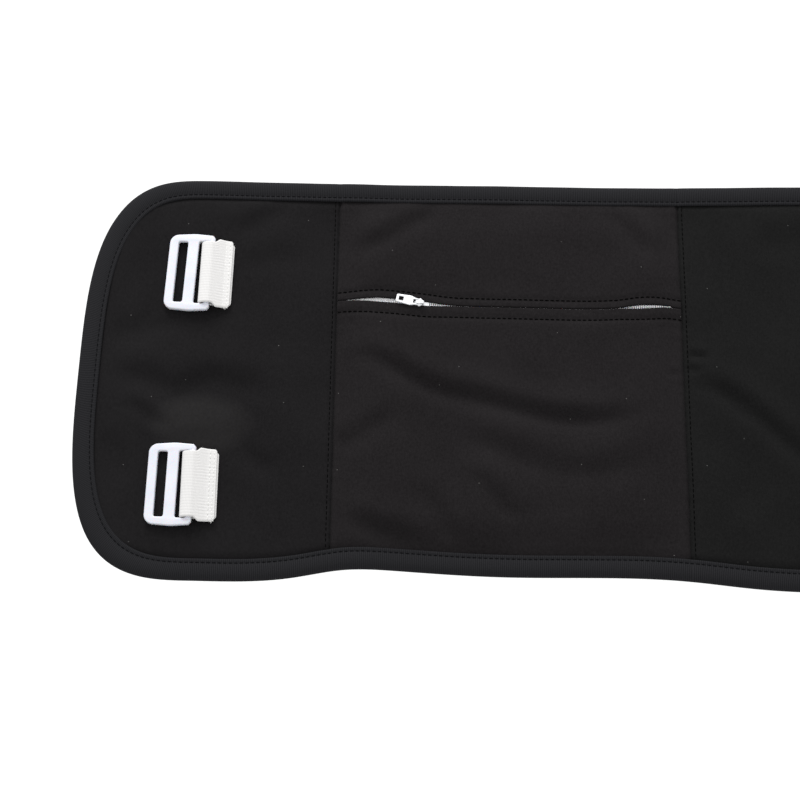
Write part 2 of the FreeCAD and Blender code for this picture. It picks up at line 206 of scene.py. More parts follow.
# Folds: a run of points, the width and depth of the valley, and the height of the soft ridge that
# lies beside it, on the left of the run. Soft cloth over foam has rounded ridges and few of them.
FOLDS = [
    # left pocket
    ([(-300, 0), (-282, 6), (-262, -3), (-243, -13), (-221, -18), (-199, -24), (-175, -29),
      (-152, -30), (-131, -27), (-112, -18)], 5.5, 1.9, 1.5),
    ([(-297, -84), (-276, -95), (-260, -102), (-243, -111)], 6.0, 1.7, 1.2),
    ([(-294, 67), (-271, 81), (-255, 92), (-240, 103)], 6.0, 1.2, 0.8),
    ([(-143, 104), (-130, 87), (-115, 69)], 6.0, 1.3, 0.8),
    ([(-240, -41), (-215, -45), (-190, -55), (-168, -61), (-137, -59), (-110, -47)], 7.5, 1.1, 1.0),
    ([(-226, -58), (-209, -76), (-195, -92)], 5.5, 1.2, 0.9),
    ([(-299, -48), (-283, -40), (-260, -24)], 6.0, 0.9, 0.7),
    ([(-258, -65), (-241, -86), (-226, -108)], 6.0, 0.9, 0.7),
    # centre panel
    ([(-97, -4), (-80, -10), (-64, -22), (-50, -34), (-34, -49), (-16, -60)], 5.5, 1.8, 1.3),
    ([(-99, 12), (-84, 10)], 2.0, 0.7, 0.4),
    ([(-99, 3), (-90, 2)], 1.8, 0.6, 0.3),
    ([(-110, 0), (-101, -1)], 1.8, 0.5, 0.3),
    ([(-88, -26), (-71, -58), (-63, -92)], 11.0, 0.9, 0.6),
    ([(-60, 82), (-30, 82), (0, 78)], 10.0, 0.8, 0.5),
    ([(20, 40), (48, 22), (92, 16)], 8.0, 1.0, 0.8),
    ([(30, -96), (62, -74), (96, -66)], 7.0, 1.1, 0.7),
    # left end panel
    ([(-436, -8), (-417, -7), (-405, -10), (-389, -15), (-369, -9), (-347, -14), (-320, -12)],
     7.5, 1.2, 0.8),
    ([(-436, 18), (-418, 20), (-407, 25), (-388, 35)], 8.5, 0.9, 0.7),
    ([(-408, -36), (-388, -39), (-368, -35), (-346, -36)], 10.0, -0.9, 0.0),
    ([(-421, -20), (-405, -31), (-390, -41)], 4.5, 0.9, 0.6),
    ([(-357, -27), (-352, -48), (-340, -59), (-330, -63)], 6.0, 0.9, 0.5),
    ([(-364, 78), (-351, 88), (-339, 96), (-326, 106)], 7.0, 0.9, 0.5),
    ([(-436, -42), (-422, -53), (-414, -74)], 7.0, 0.8, 0.5),
    ([(-358, 60), (-340, 66), (-314, 70)], 8.0, 0.5, 0.4),
    # right pocket
    ([(112, -66), (140, -48), (176, -40), (214, -48), (250, -36), (292, -30)], 6.0, 1.7, 1.3),
    ([(108, 4), (132, 12), (160, 10)], 7.0, 0.9, 0.7),
    ([(180, -92), (214, -84), (240, -98)], 7.0, 0.9, 0.6),
    ([(150, 104), (172, 86), (186, 66)], 7.0, 1.0, 0.6),
    ([(262, 104), (276, 88), (297, 78)], 7.0, 1.0, 0.6),
    # right end panel
    ([(304, -10), (330, -18), (366, -12), (402, -20), (436, -14)], 8.0, 1.1, 0.8),
    ([(306, 22), (330, 14), (352, 18)], 6.0, 0.8, 0.5),
    ([(340, -104), (362, -98), (392, -104)], 7.0, 0.7, 0.5),
]


def along_fold(x, y, points):
    """Distance to a fold's line, signed (positive on its left), and how far along it, from 0 to 1."""
    best = np.full(np.shape(x), 1e9)
    signed = np.zeros(np.shape(x))
    share = np.zeros(np.shape(x))
    fine = np.linspace(0, len(points) - 1, 6 * len(points))
    order = list(range(len(points)))
    line_x = curve_through([(i, points[i][0]) for i in order], fine)
    line_y = curve_through([(i, points[i][1]) for i in order], fine)
    for i in range(len(fine) - 1):
        dx, dy = line_x[i + 1] - line_x[i], line_y[i + 1] - line_y[i]
        length = math.hypot(dx, dy)
        t = np.clip(((x - line_x[i]) * dx + (y - line_y[i]) * dy) / length ** 2, 0, 1)
        off_x, off_y = x - line_x[i] - t * dx, y - line_y[i] - t * dy
        gap = np.hypot(off_x, off_y)
        nearer = gap < best
        best = np.where(nearer, gap, best)
        signed = np.where(nearer, gap * np.sign(dx * off_y - dy * off_x), signed)
        share = np.where(nearer, (i + t) / (len(fine) - 1), share)
    return signed, share


def creases(x, y):
    """All folds together."""
    total = np.zeros(np.shape(x))
    for points, width, depth, ridge in FOLDS:
        reach = 5 * width
        xs, ys = [p[0] for p in points], [p[1] for p in points]
        near = (x > min(xs) - reach) & (x < max(xs) + reach) & (y > min(ys) - reach) & (y < max(ys) + reach)
        if not near.any():
            continue
        s, share = along_fold(x[near], y[near], points)
        fade = ease(share / 0.25) * ease((1 - share) / 0.3)
        valley = -depth * np.exp(-(s / width) ** 2)
        crest = ridge * np.exp(-((s - 1.7 * width) / (1.5 * width)) ** 2)
        far_side = 0.35 * ridge * np.exp(-((s + 2.2 * width) / (1.6 * width)) ** 2)
        total[near] += fade * (valley + crest + far_side)
    return total


def slackness(x, y):
    """Slow unevenness of cloth that lies unpressed, from a few waves of fixed phase."""
    rng = np.random.default_rng(7)
    total = np.zeros(np.shape(x))
    for _ in range(26):
        length = rng.uniform(22, 95)
        angle = rng.uniform(0, math.pi)
        phase = rng.uniform(0, 2 * math.pi)
        wave = (x * math.cos(angle) + y * math.sin(angle)) * 2 * math.pi / length + phase
        total += np.sin(wave) * length / 95 * 0.085
    return total


def seam_puckers(x, y):
    """Short gathers that a lockstitch seam draws into the cloth on both sides of it."""
    rng = np.random.default_rng(11)
    total = np.zeros(np.shape(x))
    for seam in (-OUTER_SEAM, -INNER_SEAM, INNER_SEAM, OUTER_SEAM):
        close = np.exp(-np.abs(x - seam) / 5.0)
        for _ in range(5):
            length = rng.uniform(5, 15)
            phase = rng.uniform(0, 2 * math.pi)
            total += close * 0.07 * np.sin(y * 2 * math.pi / length + phase + 0.08 * (x - seam))
    return total


def buckle_rest(x, y):
    """The cloth is drawn down where the webbing loops and anchors are sewn, and flat under them."""
    calm = np.ones(np.shape(x))
    sink = np.zeros(np.shape(x))
    for node in ("slide_buckle_upper", "slide_buckle_lower", "webbing_loop_upper", "webbing_loop_lower",
                 "strap_anchor_upper", "strap_anchor_lower", "strap_tail_upper", "strap_tail_lower"):
        low, high = extent(node)
        high[0] = min(high[0], BELT_END)
        out = np.maximum.reduce([low[0] - x, x - high[0], low[1] - y, y - high[1], np.zeros(np.shape(x))])
        under = ease(1 - out / 11)
        calm = np.minimum(calm, 1 - under)
        if "loop" in node or "anchor" in node:
            sink = np.maximum(sink, under)
    return calm, sink


def face_height(x, y, rim):
    """Height of the belt's face above the surface it lies on; rim is the distance to its edge."""
    away = np.abs(x)
    in_pocket = (away > INNER_SEAM) & (away < OUTER_SEAM)
    from_seam = np.minimum(np.abs(away - INNER_SEAM), np.abs(away - OUTER_SEAM))
    below_zip = ease((zip_y(x) - 2 - y) / 8)
    pad = ease((from_seam - 2) / 20) * ease((rim - 11) / 22)
    raised = (0.5 * ease(from_seam / 6) + pad * (PAD_RISE + LOWER_PAD_RISE * below_zip)) * in_pocket
    calm, sink = buckle_rest(x, y)
    loose = FOLD_STRENGTH * creases(x, y) + SLACK_STRENGTH * slackness(x, y)
    loose *= (HELD_DOWN + (1 - HELD_DOWN) * calm) * ease((rim - 8) / 16)
    side = np.where(away > (INNER_SEAM + OUTER_SEAM) / 2, away - OUTER_SEAM, INNER_SEAM - away)
    stitched = side > 0
    crack = -SEAM_CRACK * np.exp(-(side / 1.1) ** 2)
    rolled = 0.45 * np.exp(-((side - 1.4) / 1.1) ** 2) * stitched
    rolled -= THREAD_GROOVE * np.exp(-((side - SEAM_STITCH) / 0.8) ** 2) * stitched
    rolled += 0.4 * np.exp(-((side + 2.6) / 2.2) ** 2) * ~stitched
    tuck = -BINDING_TUCK * ease((16.5 - rim) / 5.5)
    height = PANEL_TOP + 0.25 + raised + loose + seam_puckers(x, y) + crack + rolled + tuck
    return np.maximum(height - 0.25 * sink, FOAM_BASE + 1.7)


def zip_height(x, y, height):
    """Presses the hems flat beside the slit and rolls their lips in: top of the cloth and its underside.

    The underside stays level, so that the slider runs free beneath it.
    """
    away = np.abs(x)
    in_pocket = (away > INNER_SEAM) & (away < OUTER_SEAM)
    from_slit = np.abs(y - zip_y(x)) - zip_gape(x)
    hem = ease(1 - (from_slit - 3) / 11) * in_pocket
    level = HEM_LEVEL + HEM_RISE * ease(np.minimum(away - INNER_SEAM, OUTER_SEAM - away) / 12)
    pressed = height * (1 - HEM_PRESS * hem) + HEM_PRESS * hem * level
    nose = LIP_NOSE * (1 - np.sqrt(1 - np.clip(1 - from_slit / LIP_NOSE, 0, 1) ** 2)) * in_pocket
    upper = y > zip_y(x)
    row = np.where(upper, UPPER_ROW, LOWER_ROW)
    trench = 0.8 * np.exp(-((from_slit - row) / 1.3) ** 2) * in_pocket
    thickness = np.where(np.abs(y - zip_y(x)) < 9, HEM_THICKNESS, CLOTH)
    return pressed - nose - trench, pressed - thickness


# ---------------------------------------------------------------- meshes


def linked(name, data):
    """Object for a mesh, curve, light or camera, placed in the scene."""
    holder = bpy.data.objects.new(name, data)
    bpy.context.scene.collection.objects.link(holder)
    return holder


def new_mesh(name, points, faces, uv=None):
    """Piece from points in millimetres and faces."""
    mesh = bpy.data.meshes.new(name)
    mesh.from_pydata((np.asarray(points, float) * MM).tolist(), [], faces)
    if uv is not None:
        layer = mesh.uv_layers.new(name="UVMap")
        index = np.empty(len(mesh.loops), int)
        mesh.loops.foreach_get("vertex_index", index)
        layer.data.foreach_set("uv", (np.asarray(uv, float) * MM)[index].ravel())
    mesh.update()
    return linked(name, mesh)


def round_shading(piece, angle=38):
    """Smooth shading with sharp edges kept where the shape turns by more than angle."""
    mesh = piece.data
    mesh.polygons.foreach_set("use_smooth", [True] * len(mesh.polygons))
    work = bmesh.new()
    work.from_mesh(mesh)
    limit = math.radians(angle)
    for edge in work.edges:
        if len(edge.link_faces) == 2:
            edge.smooth = edge.calc_face_angle(0) < limit
    work.to_mesh(mesh)
    work.free()
    mesh.update()
    return piece


def grid_faces(rows, columns, offset, flip):
    """Four-sided faces over a grid of points that starts at offset."""
    faces = []
    for i in range(rows - 1):
        for j in range(columns - 1):
            a = offset + i * columns + j
            quad = (a, a + columns, a + columns + 1, a + 1)
            faces.append(quad[::-1] if flip else quad)
    return faces


def two_faced(rows, columns, flip):
    """Faces of a closed sheet: two grids of points, one after the other, and the wall round them."""
    count = rows * columns
    faces = grid_faces(rows, columns, 0, flip) + grid_faces(rows, columns, count, not flip)
    ring = list(range(columns))
    ring += [i * columns + columns - 1 for i in range(1, rows)]
    ring += [(rows - 1) * columns + j for j in range(columns - 2, -1, -1)]
    ring += [i * columns for i in range(rows - 2, 0, -1)]
    for a, b in zip(ring, ring[1:] + ring[:1]):
        faces.append((a, b, b + count, a + count))
    return faces


def slab(name, x, y, top, bottom):
    """Closed sheet between two surfaces over one grid; x grows with rows and y with columns."""
    points = np.concatenate([np.stack([x, y, z], -1).reshape(-1, 3) for z in (top, bottom)])
    return outward(new_mesh(name, points, two_faced(*x.shape, False), uv=points[:, :2]))


def outward(piece):
    """Turns every face of a closed piece to point out."""
    work = bmesh.new()
    work.from_mesh(piece.data)
    bmesh.ops.recalc_face_normals(work, faces=work.faces)
    work.to_mesh(piece.data)
    work.free()
    return piece


def stations(start, end, step, fine_near=(), fine=1.0, reach=6.0):
    """Places from start to end, step apart, and closer near the places in fine_near."""
    places = [start]
    while places[-1] < end - 1e-6:
        at = places[-1]
        near = min([abs(at - f) for f in fine_near] or [1e9])
        places.append(at + (fine if near < reach else step))
    places = np.array(places)
    return start + (places - start) * (end - start) / (places[-1] - start)


# Each panel: its name, which also names its bodies, and where it starts and ends. The centre panel is sewn
# as one and made as two halves, one beside each fold.
PANELS = [
    ("end_left", -BELT_END, -OUTER_SEAM),
    ("pocket_left", -OUTER_SEAM, -INNER_SEAM),
    ("centre_left", -INNER_SEAM, 0.0),
    ("centre_right", 0.0, INNER_SEAM),
    ("pocket_right", INNER_SEAM, OUTER_SEAM),
    ("end_right", OUTER_SEAM, BELT_END),
]
SEAMS = [-OUTER_SEAM, -INNER_SEAM, INNER_SEAM, OUTER_SEAM]
CORNER_STEPS = 34


def across_rows(step):
    """Rows across a panel, closer together towards both edges."""
    inner = np.linspace(-0.9, 0.9, int(1.8 * HALF_HEIGHT / step))
    rim = np.linspace(0.9, 1.0, 9)
    return np.concatenate([-rim[::-1], inner[1:-1], rim])


def along_places(panel, step):
    """Places along a panel, closer together beside its seams."""
    _, start, end = panel
    return stations(start, end, step, fine_near=SEAMS, fine=min(step, 0.55), reach=5.5)


def bend(piece, first, second, joint, reach):
    """Bakes a piece's placement into its mesh; it is neither bent nor joined to a body.

    first, second, joint and reach are not used; a positive reach was to put the first body on the side of
    larger X.
    """
    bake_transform(piece)


def ride_panel(piece, panel):
    """Joins a pocket panel's piece to its body; the other panels' pieces are only baked in place, not bent
    or joined.
    """
    region, side = panel[0].split("_")
    sign = -1 if side == "left" else 1
    if region == "pocket":
        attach(piece, panel[0])
    elif region == "end":
        bend(piece, "end_" + side, "pocket_" + side, "outer_fold_" + side, sign * FOLD_REACH)
    else:
        bend(piece, "centre", "pocket_" + side, "inner_fold_" + side, -sign * FOLD_REACH)
    return piece


# ---------------------------------------------------------------- materials


WAVE = math.tau / 20      # the wave pattern repeats once for this much scale times a length


def hex_colour(text):
    """An sRGB hex value as linear RGBA."""
    values = [int(text[i:i + 2], 16) / 255 for i in (1, 3, 5)]
    return [v / 12.92 if v <= 0.04045 else ((v + 0.055) / 1.055) ** 2.4 for v in values] + [1.0]


def add(tree, kind, links=None, **settings):
    """One node with its settings; links maps an input to another node's output."""
    node = tree.nodes.new(kind)
    for key, value in settings.items():
        if hasattr(node, key):
            setattr(node, key, value)
        else:
            node.inputs[key].default_value = value
    for key, source in (links or {}).items():
        tree.links.new(source, node.inputs[key])
    return node


def new_material(name, colour, **shader):
    """Material with its Principled shader, ready for a pattern."""
    material = bpy.data.materials.new(name)
    material.use_nodes = True
    tree = material.node_tree
    principled = tree.nodes["Principled BSDF"]
    principled.inputs["Base Color"].default_value = hex_colour(colour)
    for key, value in shader.items():
        principled.inputs[key.replace("_", " ")].default_value = value
    return material, tree, principled


def ramp(tree, source, stops):
    """Colours along a value from 0 to 1; stops are places and sRGB hex colours."""
    node = add(tree, "ShaderNodeValToRGB", {"Fac": source})
    elements = node.color_ramp.elements
    while len(elements) < len(stops):
        elements.new(0.5)
    for element, (place, colour) in zip(elements, stops):
        element.position = place
        element.color = hex_colour(colour)
    return node.outputs["Color"]


def number(tree, operation, first, second):
    """Mathematics on one or two values, each a socket or a plain number."""
    node = add(tree, "ShaderNodeMath", operation=operation)
    for socket, value in zip(node.inputs, (first, second)):
        if isinstance(value, (int, float)):
            socket.default_value = value
        else:
            tree.links.new(value, socket)
    return node.outputs[0]


def bumped(tree, principled, height, distance, strength=1.0):
    """Relief from a pattern, distance in millimetres from its lowest to its highest."""
    bump = add(tree, "ShaderNodeBump", {"Height": height}, Strength=strength, Distance=distance * MM)
    tree.links.new(bump.outputs["Normal"], principled.inputs["Normal"])


def softshell(name, colour, lighter, painted_highlight=None):
    """Softshell: knitted polyester face on foam, brushed matte, with faint wales and stray lint.

    The optional last argument places a painted highlight, a pale spot where the cloth catches the light:
    its centre and half its size in millimetres, and the colour there.
    """
    material, tree, principled = new_material(name, colour, Roughness=0.95, Specular_IOR_Level=0.05,
                                              Sheen_Weight=0.012, Sheen_Roughness=0.6)
    where = add(tree, "ShaderNodeTexCoord").outputs["Object"]
    drawn = add(tree, "ShaderNodeMapping", {"Vector": where}, Scale=(1.0, 0.3, 1.0))
    # Real wales are about 0.3 mm apart; 0.7 mm is as fine as still shows.
    wales = add(tree, "ShaderNodeTexNoise", {"Vector": drawn.outputs["Vector"]}, Scale=1 / (0.7 * MM),
                Detail=2.0)
    mottle = add(tree, "ShaderNodeTexNoise", {"Vector": where}, Scale=1 / (1.3 * MM), Detail=5.0)
    patches = add(tree, "ShaderNodeTexNoise", {"Vector": where}, Scale=1 / (45 * MM), Detail=2.0)
    grain = number(tree, "ADD", number(tree, "MULTIPLY", wales.outputs["Fac"], 0.4),
                   number(tree, "MULTIPLY", mottle.outputs["Fac"], 0.6))
    shade = number(tree, "ADD", number(tree, "MULTIPLY", grain, 0.75),
                   number(tree, "MULTIPLY", patches.outputs["Fac"], 0.25))
    cloth = ramp(tree, shade, [(0.35, colour), (0.65, lighter)])
    # Painted highlight: a pale spot mixed into the cloth's colour where the cloth catches the light.
    if painted_highlight:
        centre, reach, highlight_colour = painted_highlight
        local = add(tree, "ShaderNodeMapping", {"Vector": where},
                    Location=(-centre[0] / reach[0], -centre[1] / reach[1], 0),
                    Scale=(1 / (reach[0] * MM), 1 / (reach[1] * MM), 0))
        spot = add(tree, "ShaderNodeTexGradient", {"Vector": local.outputs["Vector"]},
                   gradient_type="SPHERICAL")
        level = number(tree, "MINIMUM", spot.outputs["Fac"], 0.42)
        patchy = number(tree, "MULTIPLY", level, number(tree, "ADD", mottle.outputs["Fac"], 0.5))
        tone_change = add(tree, "ShaderNodeMix", {"Factor": patchy}, data_type="RGBA")
        tree.links.new(cloth, tone_change.inputs["A"])
        tone_change.inputs["B"].default_value = hex_colour(highlight_colour)
        cloth = tone_change.outputs["Result"]
    lint = add(tree, "ShaderNodeTexVoronoi", {"Vector": where}, voronoi_dimensions="2D",
               Scale=1 / (50 * MM))
    speck = number(tree, "LESS_THAN", lint.outputs["Distance"], 0.0055)
    faint = number(tree, "MULTIPLY", speck, number(tree, "MULTIPLY", patches.outputs["Fac"], 0.3))
    mixed = add(tree, "ShaderNodeMix", data_type="RGBA")
    tree.links.new(faint, mixed.inputs["Factor"])
    tree.links.new(cloth, mixed.inputs["A"])
    mixed.inputs["B"].default_value = hex_colour("#b8b8b4")
    tree.links.new(mixed.outputs["Result"], principled.inputs["Base Color"])
    bumped(tree, principled, grain, 0.10, 0.5)
    return material


def ribbed_tape(name, colour, lighter, pitch, shine, depth):
    """Woven tape with ribs across its length; U of its map runs along the tape in metres."""
    material, tree, principled = new_material(name, colour, Roughness=0.85, Specular_IOR_Level=shine)
    where = add(tree, "ShaderNodeUVMap", uv_map="UVMap").outputs["UV"]
    ribs = add(tree, "ShaderNodeTexWave", {"Vector": where}, wave_type="BANDS", bands_direction="X",
               Scale=WAVE / (pitch * MM), Distortion=0.35, Detail=2.0)
    fuzz = add(tree, "ShaderNodeTexNoise", {"Vector": where}, Scale=1 / (0.9 * MM), Detail=4.0)
    mix = number(tree, "ADD", number(tree, "MULTIPLY", ribs.outputs["Fac"], 0.6),
                 number(tree, "MULTIPLY", fuzz.outputs["Fac"], 0.4))
    tree.links.new(ramp(tree, mix, [(0.2, colour), (0.8, lighter)]), principled.inputs["Base Color"])
    bumped(tree, principled, mix, depth, 0.6)
    return material


def webbing_cloth(name, colour, lighter):
    """Plain-woven polyester webbing: heavy picks between the ribs, and a dry off-white look."""
    material, tree, principled = new_material(name, colour, Roughness=0.85, Specular_IOR_Level=0.15)
    where = add(tree, "ShaderNodeUVMap", uv_map="UVMap").outputs["UV"]
    picks = add(tree, "ShaderNodeTexWave", {"Vector": where}, wave_type="BANDS", bands_direction="X",
                Scale=WAVE / (0.75 * MM), Distortion=0.6, Detail=2.0)
    ribs = add(tree, "ShaderNodeTexWave", {"Vector": where}, wave_type="BANDS", bands_direction="Y",
               Scale=WAVE / (1.66 * MM), Distortion=0.2, Detail=1.0)
    fuzz = add(tree, "ShaderNodeTexNoise", {"Vector": where}, Scale=1 / (0.6 * MM), Detail=4.0)
    weave = number(tree, "ADD", number(tree, "MULTIPLY", picks.outputs["Fac"], 0.3),
                   number(tree, "ADD", number(tree, "MULTIPLY", ribs.outputs["Fac"], 0.25),
                          number(tree, "MULTIPLY", fuzz.outputs["Fac"], 0.45)))
    tree.links.new(ramp(tree, weave, [(0.15, colour), (0.75, lighter)]), principled.inputs["Base Color"])
    bumped(tree, principled, weave, 0.08, 0.6)
    return material


def moulded_plastic(name, colour, shade, rough, grain_size):
    """Injection-moulded acetal: even, slightly translucent white with a fine mould texture."""
    material, tree, principled = new_material(name, colour, Roughness=rough, Specular_IOR_Level=0.45,
                                              Subsurface_Weight=0.08, Subsurface_Scale=0.6 * MM)
    where = add(tree, "ShaderNodeTexCoord").outputs["Object"]
    grain = add(tree, "ShaderNodeTexNoise", {"Vector": where}, Scale=1 / (grain_size * MM), Detail=3.0)
    flow = add(tree, "ShaderNodeTexNoise", {"Vector": where}, Scale=1 / (9 * MM), Detail=2.0)
    tree.links.new(ramp(tree, flow.outputs["Fac"], [(0.35, shade), (0.65, colour)]),
                   principled.inputs["Base Color"])
    rough_range = add(tree, "ShaderNodeMapRange", {"Value": flow.outputs["Fac"]})
    rough_range.inputs["To Min"].default_value = rough - 0.06
    rough_range.inputs["To Max"].default_value = rough + 0.08
    tree.links.new(rough_range.outputs["Result"], principled.inputs["Roughness"])
    bumped(tree, principled, grain.outputs["Fac"], 0.02, 0.35)
    return material


def enamelled_zinc(name, colour, tone_change):
    """Die-cast zinc under white enamel, a little scuffed where it catches."""
    material, tree, principled = new_material(name, colour, Roughness=0.3, Specular_IOR_Level=0.5,
                                              Coat_Weight=0.3, Coat_Roughness=0.15)
    where = add(tree, "ShaderNodeTexCoord").outputs["Object"]
    rub = add(tree, "ShaderNodeTexNoise", {"Vector": where}, Scale=1 / (1.6 * MM), Detail=4.0)
    tree.links.new(ramp(tree, rub.outputs["Fac"], [(0.30, tone_change), (0.42, colour)]),
                   principled.inputs["Base Color"])
    bumped(tree, principled, rub.outputs["Fac"], 0.03, 0.3)
    return material


def spun_thread(name, colour, lighter, shine):
    """Polyester sewing thread: two plies twisted, so it shows slanting light and dark."""
    material, tree, principled = new_material(name, colour, Roughness=0.75, Specular_IOR_Level=shine)
    where = add(tree, "ShaderNodeTexCoord").outputs["Object"]
    twist = add(tree, "ShaderNodeTexWave", {"Vector": where}, wave_type="BANDS",
                bands_direction="DIAGONAL", Scale=WAVE / (0.5 * MM), Distortion=0.4)
    tree.links.new(ramp(tree, twist.outputs["Fac"], [(0.3, colour), (0.7, lighter)]),
                   principled.inputs["Base Color"])
    bumped(tree, principled, twist.outputs["Fac"], 0.05, 0.5)
    return material


def eyelet_mesh(name, colour, lighter, pitch):
    """Warp-knitted mesh lining: small dark holes in a soft jersey."""
    material, tree, principled = new_material(name, colour, Roughness=0.9, Specular_IOR_Level=0.1)
    where = add(tree, "ShaderNodeTexCoord").outputs["Object"]
    holes = add(tree, "ShaderNodeTexVoronoi", {"Vector": where}, Scale=1 / (pitch * MM), Randomness=0.25)
    fuzz = add(tree, "ShaderNodeTexNoise", {"Vector": where}, Scale=1 / (0.8 * MM), Detail=3.0)
    mix = number(tree, "ADD", number(tree, "MULTIPLY", holes.outputs["Distance"], 0.8),
                 number(tree, "MULTIPLY", fuzz.outputs["Fac"], 0.25))
    tree.links.new(ramp(tree, mix, [(0.2, colour), (0.65, lighter)]), principled.inputs["Base Color"])
    bumped(tree, principled, mix, 0.25, 0.7)
    return material


def cell_foam(name, colour, lighter):
    """Closed-cell foam: matte, with a skin of fine bubbles."""
    material, tree, principled = new_material(name, colour, Roughness=0.95, Specular_IOR_Level=0.1)
    where = add(tree, "ShaderNodeTexCoord").outputs["Object"]
    cells = add(tree, "ShaderNodeTexVoronoi", {"Vector": where}, Scale=1 / (0.7 * MM))
    tree.links.new(ramp(tree, cells.outputs["Distance"], [(0.2, colour), (0.8, lighter)]),
                   principled.inputs["Base Color"])
    bumped(tree, principled, cells.outputs["Distance"], 0.15, 0.6)
    return material


FACE_POCKET = softshell("softshell_pocket_knit", "#161415", "#201e1f")
# The end panels' cloth carries a painted highlight: a pale spot beside the lower buckle, where the cloth
# catches the light.
FACE_END = softshell("softshell_end_knit", "#131213", "#1b1a1b",
                      ((-375, -35), (32, 20), "#2a2929"))
FACE_CENTRE = softshell("softshell_centre_knit", "#111111", "#191919")
LINING = eyelet_mesh("lining_warp_mesh", "#0f0f10", "#1e1e20", 1.9)
BAG_CLOTH = softshell("pocket_bag_taffeta", "#151515", "#1f1f1f")
FOAM = cell_foam("panel_closed_cell_foam", "#121212", "#1c1c1c")
BINDING = ribbed_tape("binding_grosgrain", "#161618", "#262628", 1.05, 0.06, 0.16)
WEBBING = webbing_cloth("webbing_polyester_white", "#c6c5c4", "#d9d8d7")
ZIP_TAPE = ribbed_tape("zip_tape_woven_white", "#ecedf0", "#fdfdfd", 0.8, 0.25, 0.05)
COIL = moulded_plastic("zip_coil_nylon_white", "#f2f3f5", "#e6e7ea", 0.4, 0.5)
BUCKLE = moulded_plastic("buckle_acetal_white", "#d4d5dc", "#ced0d9", 0.36, 0.35)
SLIDER = enamelled_zinc("slider_white_enamel", "#f1f2f4", "#c9cbd0")
# The thread is black; its near pure black, deeper than the cloth, is partly painted shade of the needle
# holes that the stitches sink into.
BLACK_THREAD = spun_thread("thread_black_polyester", "#020202", "#070707", 0.0)
BINDING_THREAD = spun_thread("thread_charcoal_polyester", "#0b0b0c", "#131315", 0.0)
WHITE_THREAD = spun_thread("thread_white_polyester", "#cfcfcd", "#ecece9", 0.2)
PAD_CLOTH = softshell("shot_pad_canvas", "#1a1a1c", "#26262a")
PAINT = {"end_left": FACE_END, "end_right": FACE_END, "pocket_left": FACE_POCKET,
         "pocket_right": FACE_POCKET, "centre_left": FACE_CENTRE, "centre_right": FACE_CENTRE}


def dress(piece, material):
    """Gives a piece its material and the name of its material slot."""
    piece.data.materials.clear()
    piece.data.materials.append(material)
    return piece


# ---------------------------------------------------------------- cloth pieces of the panels

FACE_INSET = 6.0
STEP = 1.9
LAYER_STEP = 6.0          # hidden layers are smooth and need fewer faces


def panel_grid(panel, inset, step):
    """Grid over a panel: each point's place and its distance to the belt's edge."""
    uu, vv = np.meshgrid(along_places(panel, step), across_rows(step), indexing="ij")
    x, y = plan(uu, vv, inset)
    return x, y, edge_distance(uu, vv, inset)


def lip_rows(count):
    """Shares of the way from a panel's edge to the slit, close together at the lip and at the edge."""
    body = 1 - (1 - np.linspace(0, 1, count)) ** 1.25
    nose = 1 - np.array([3.0, 2.2, 1.6, 1.1, 0.75, 0.45, 0.25, 0.1, 0.0]) / 100
    return np.concatenate([body[body < nose[0] - 0.004], nose])


def face_piece(panel):
    """Face fabric of an end or centre panel."""
    x, y, rim = panel_grid(panel, FACE_INSET, STEP)
    top = face_height(x, y, rim)
    piece = slab("face_" + panel[0], x, y, top, top - CLOTH)
    return dress(round_shading(piece), PAINT[panel[0]])


def pocket_face(panel, upper):
    """Face fabric above or below the zip, with its hem rolled in along the slit."""
    u = along_places(panel, STEP)
    outer_edge = 1 if upper else -1
    _, edge = plan(u, outer_edge, FACE_INSET)
    lip = zip_y(u) + outer_edge * zip_gape(u)
    share = lip_rows(int(abs(edge.mean() - ZIP_Y) / STEP))
    x = np.repeat(u[:, None], len(share), axis=1)
    y = edge[:, None] + (lip - edge)[:, None] * share[None, :]
    rim = FACE_INSET + np.abs(y - edge[:, None])
    top, underside = zip_height(x, y, face_height(x, y, rim))
    if upper:
        x, y, top, underside = (a[:, ::-1] for a in (x, y, top, underside))
    name = "face_pocket_" + ("upper_" if upper else "lower_") + panel[0].split("_")[1]
    piece = slab(name, x, y, top, underside)
    return dress(round_shading(piece, 60), FACE_POCKET)


def layer_piece(panel, name, inset, low, high, material):
    """Foam or lining of a panel; high may be a rule of x, y and the distance to the rim."""
    x, y, rim = panel_grid(panel, inset, LAYER_STEP)
    top = high(x, y, rim) if callable(high) else np.full(x.shape, high)
    piece = slab(name + "_" + panel[0], x, y, top, np.full(x.shape, low))
    return dress(round_shading(piece), material)


def foam_top(x, y, rim):
    """Foam fills the panel up to just under the face, and is squeezed thin inside the binding."""
    return np.minimum(face_height(x, y, rim) - CLOTH - 0.15, FOAM_TOP + 0.3)


def build_panels():
    """Face, foam and lining of every panel."""
    for panel in PANELS:
        name = panel[0]
        region, side = name.split("_")
        lining = layer_piece(panel, "lining", BINDING_WIDTH - 2, 0.05, FOAM_BASE, LINING)
        foam = layer_piece(panel, "foam", 2.0, FOAM_BASE + 0.02, foam_top, FOAM)
        node = region if region == "centre" else name
        if region == "pocket":
            upper, lower = pocket_face(panel, True), pocket_face(panel, False)
            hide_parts("shell_pocket_upper_" + side)
            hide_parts("shell_pocket_lower_" + side)
            faces = [upper, lower]
        else:
            faces = [face_piece(panel)]
            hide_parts("shell_" + node)
        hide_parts("lining_" + node)
        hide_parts("foam_" + node)
        for piece in faces + [lining, foam]:
            ride_panel(piece, panel)


# ---------------------------------------------------------------- edge binding

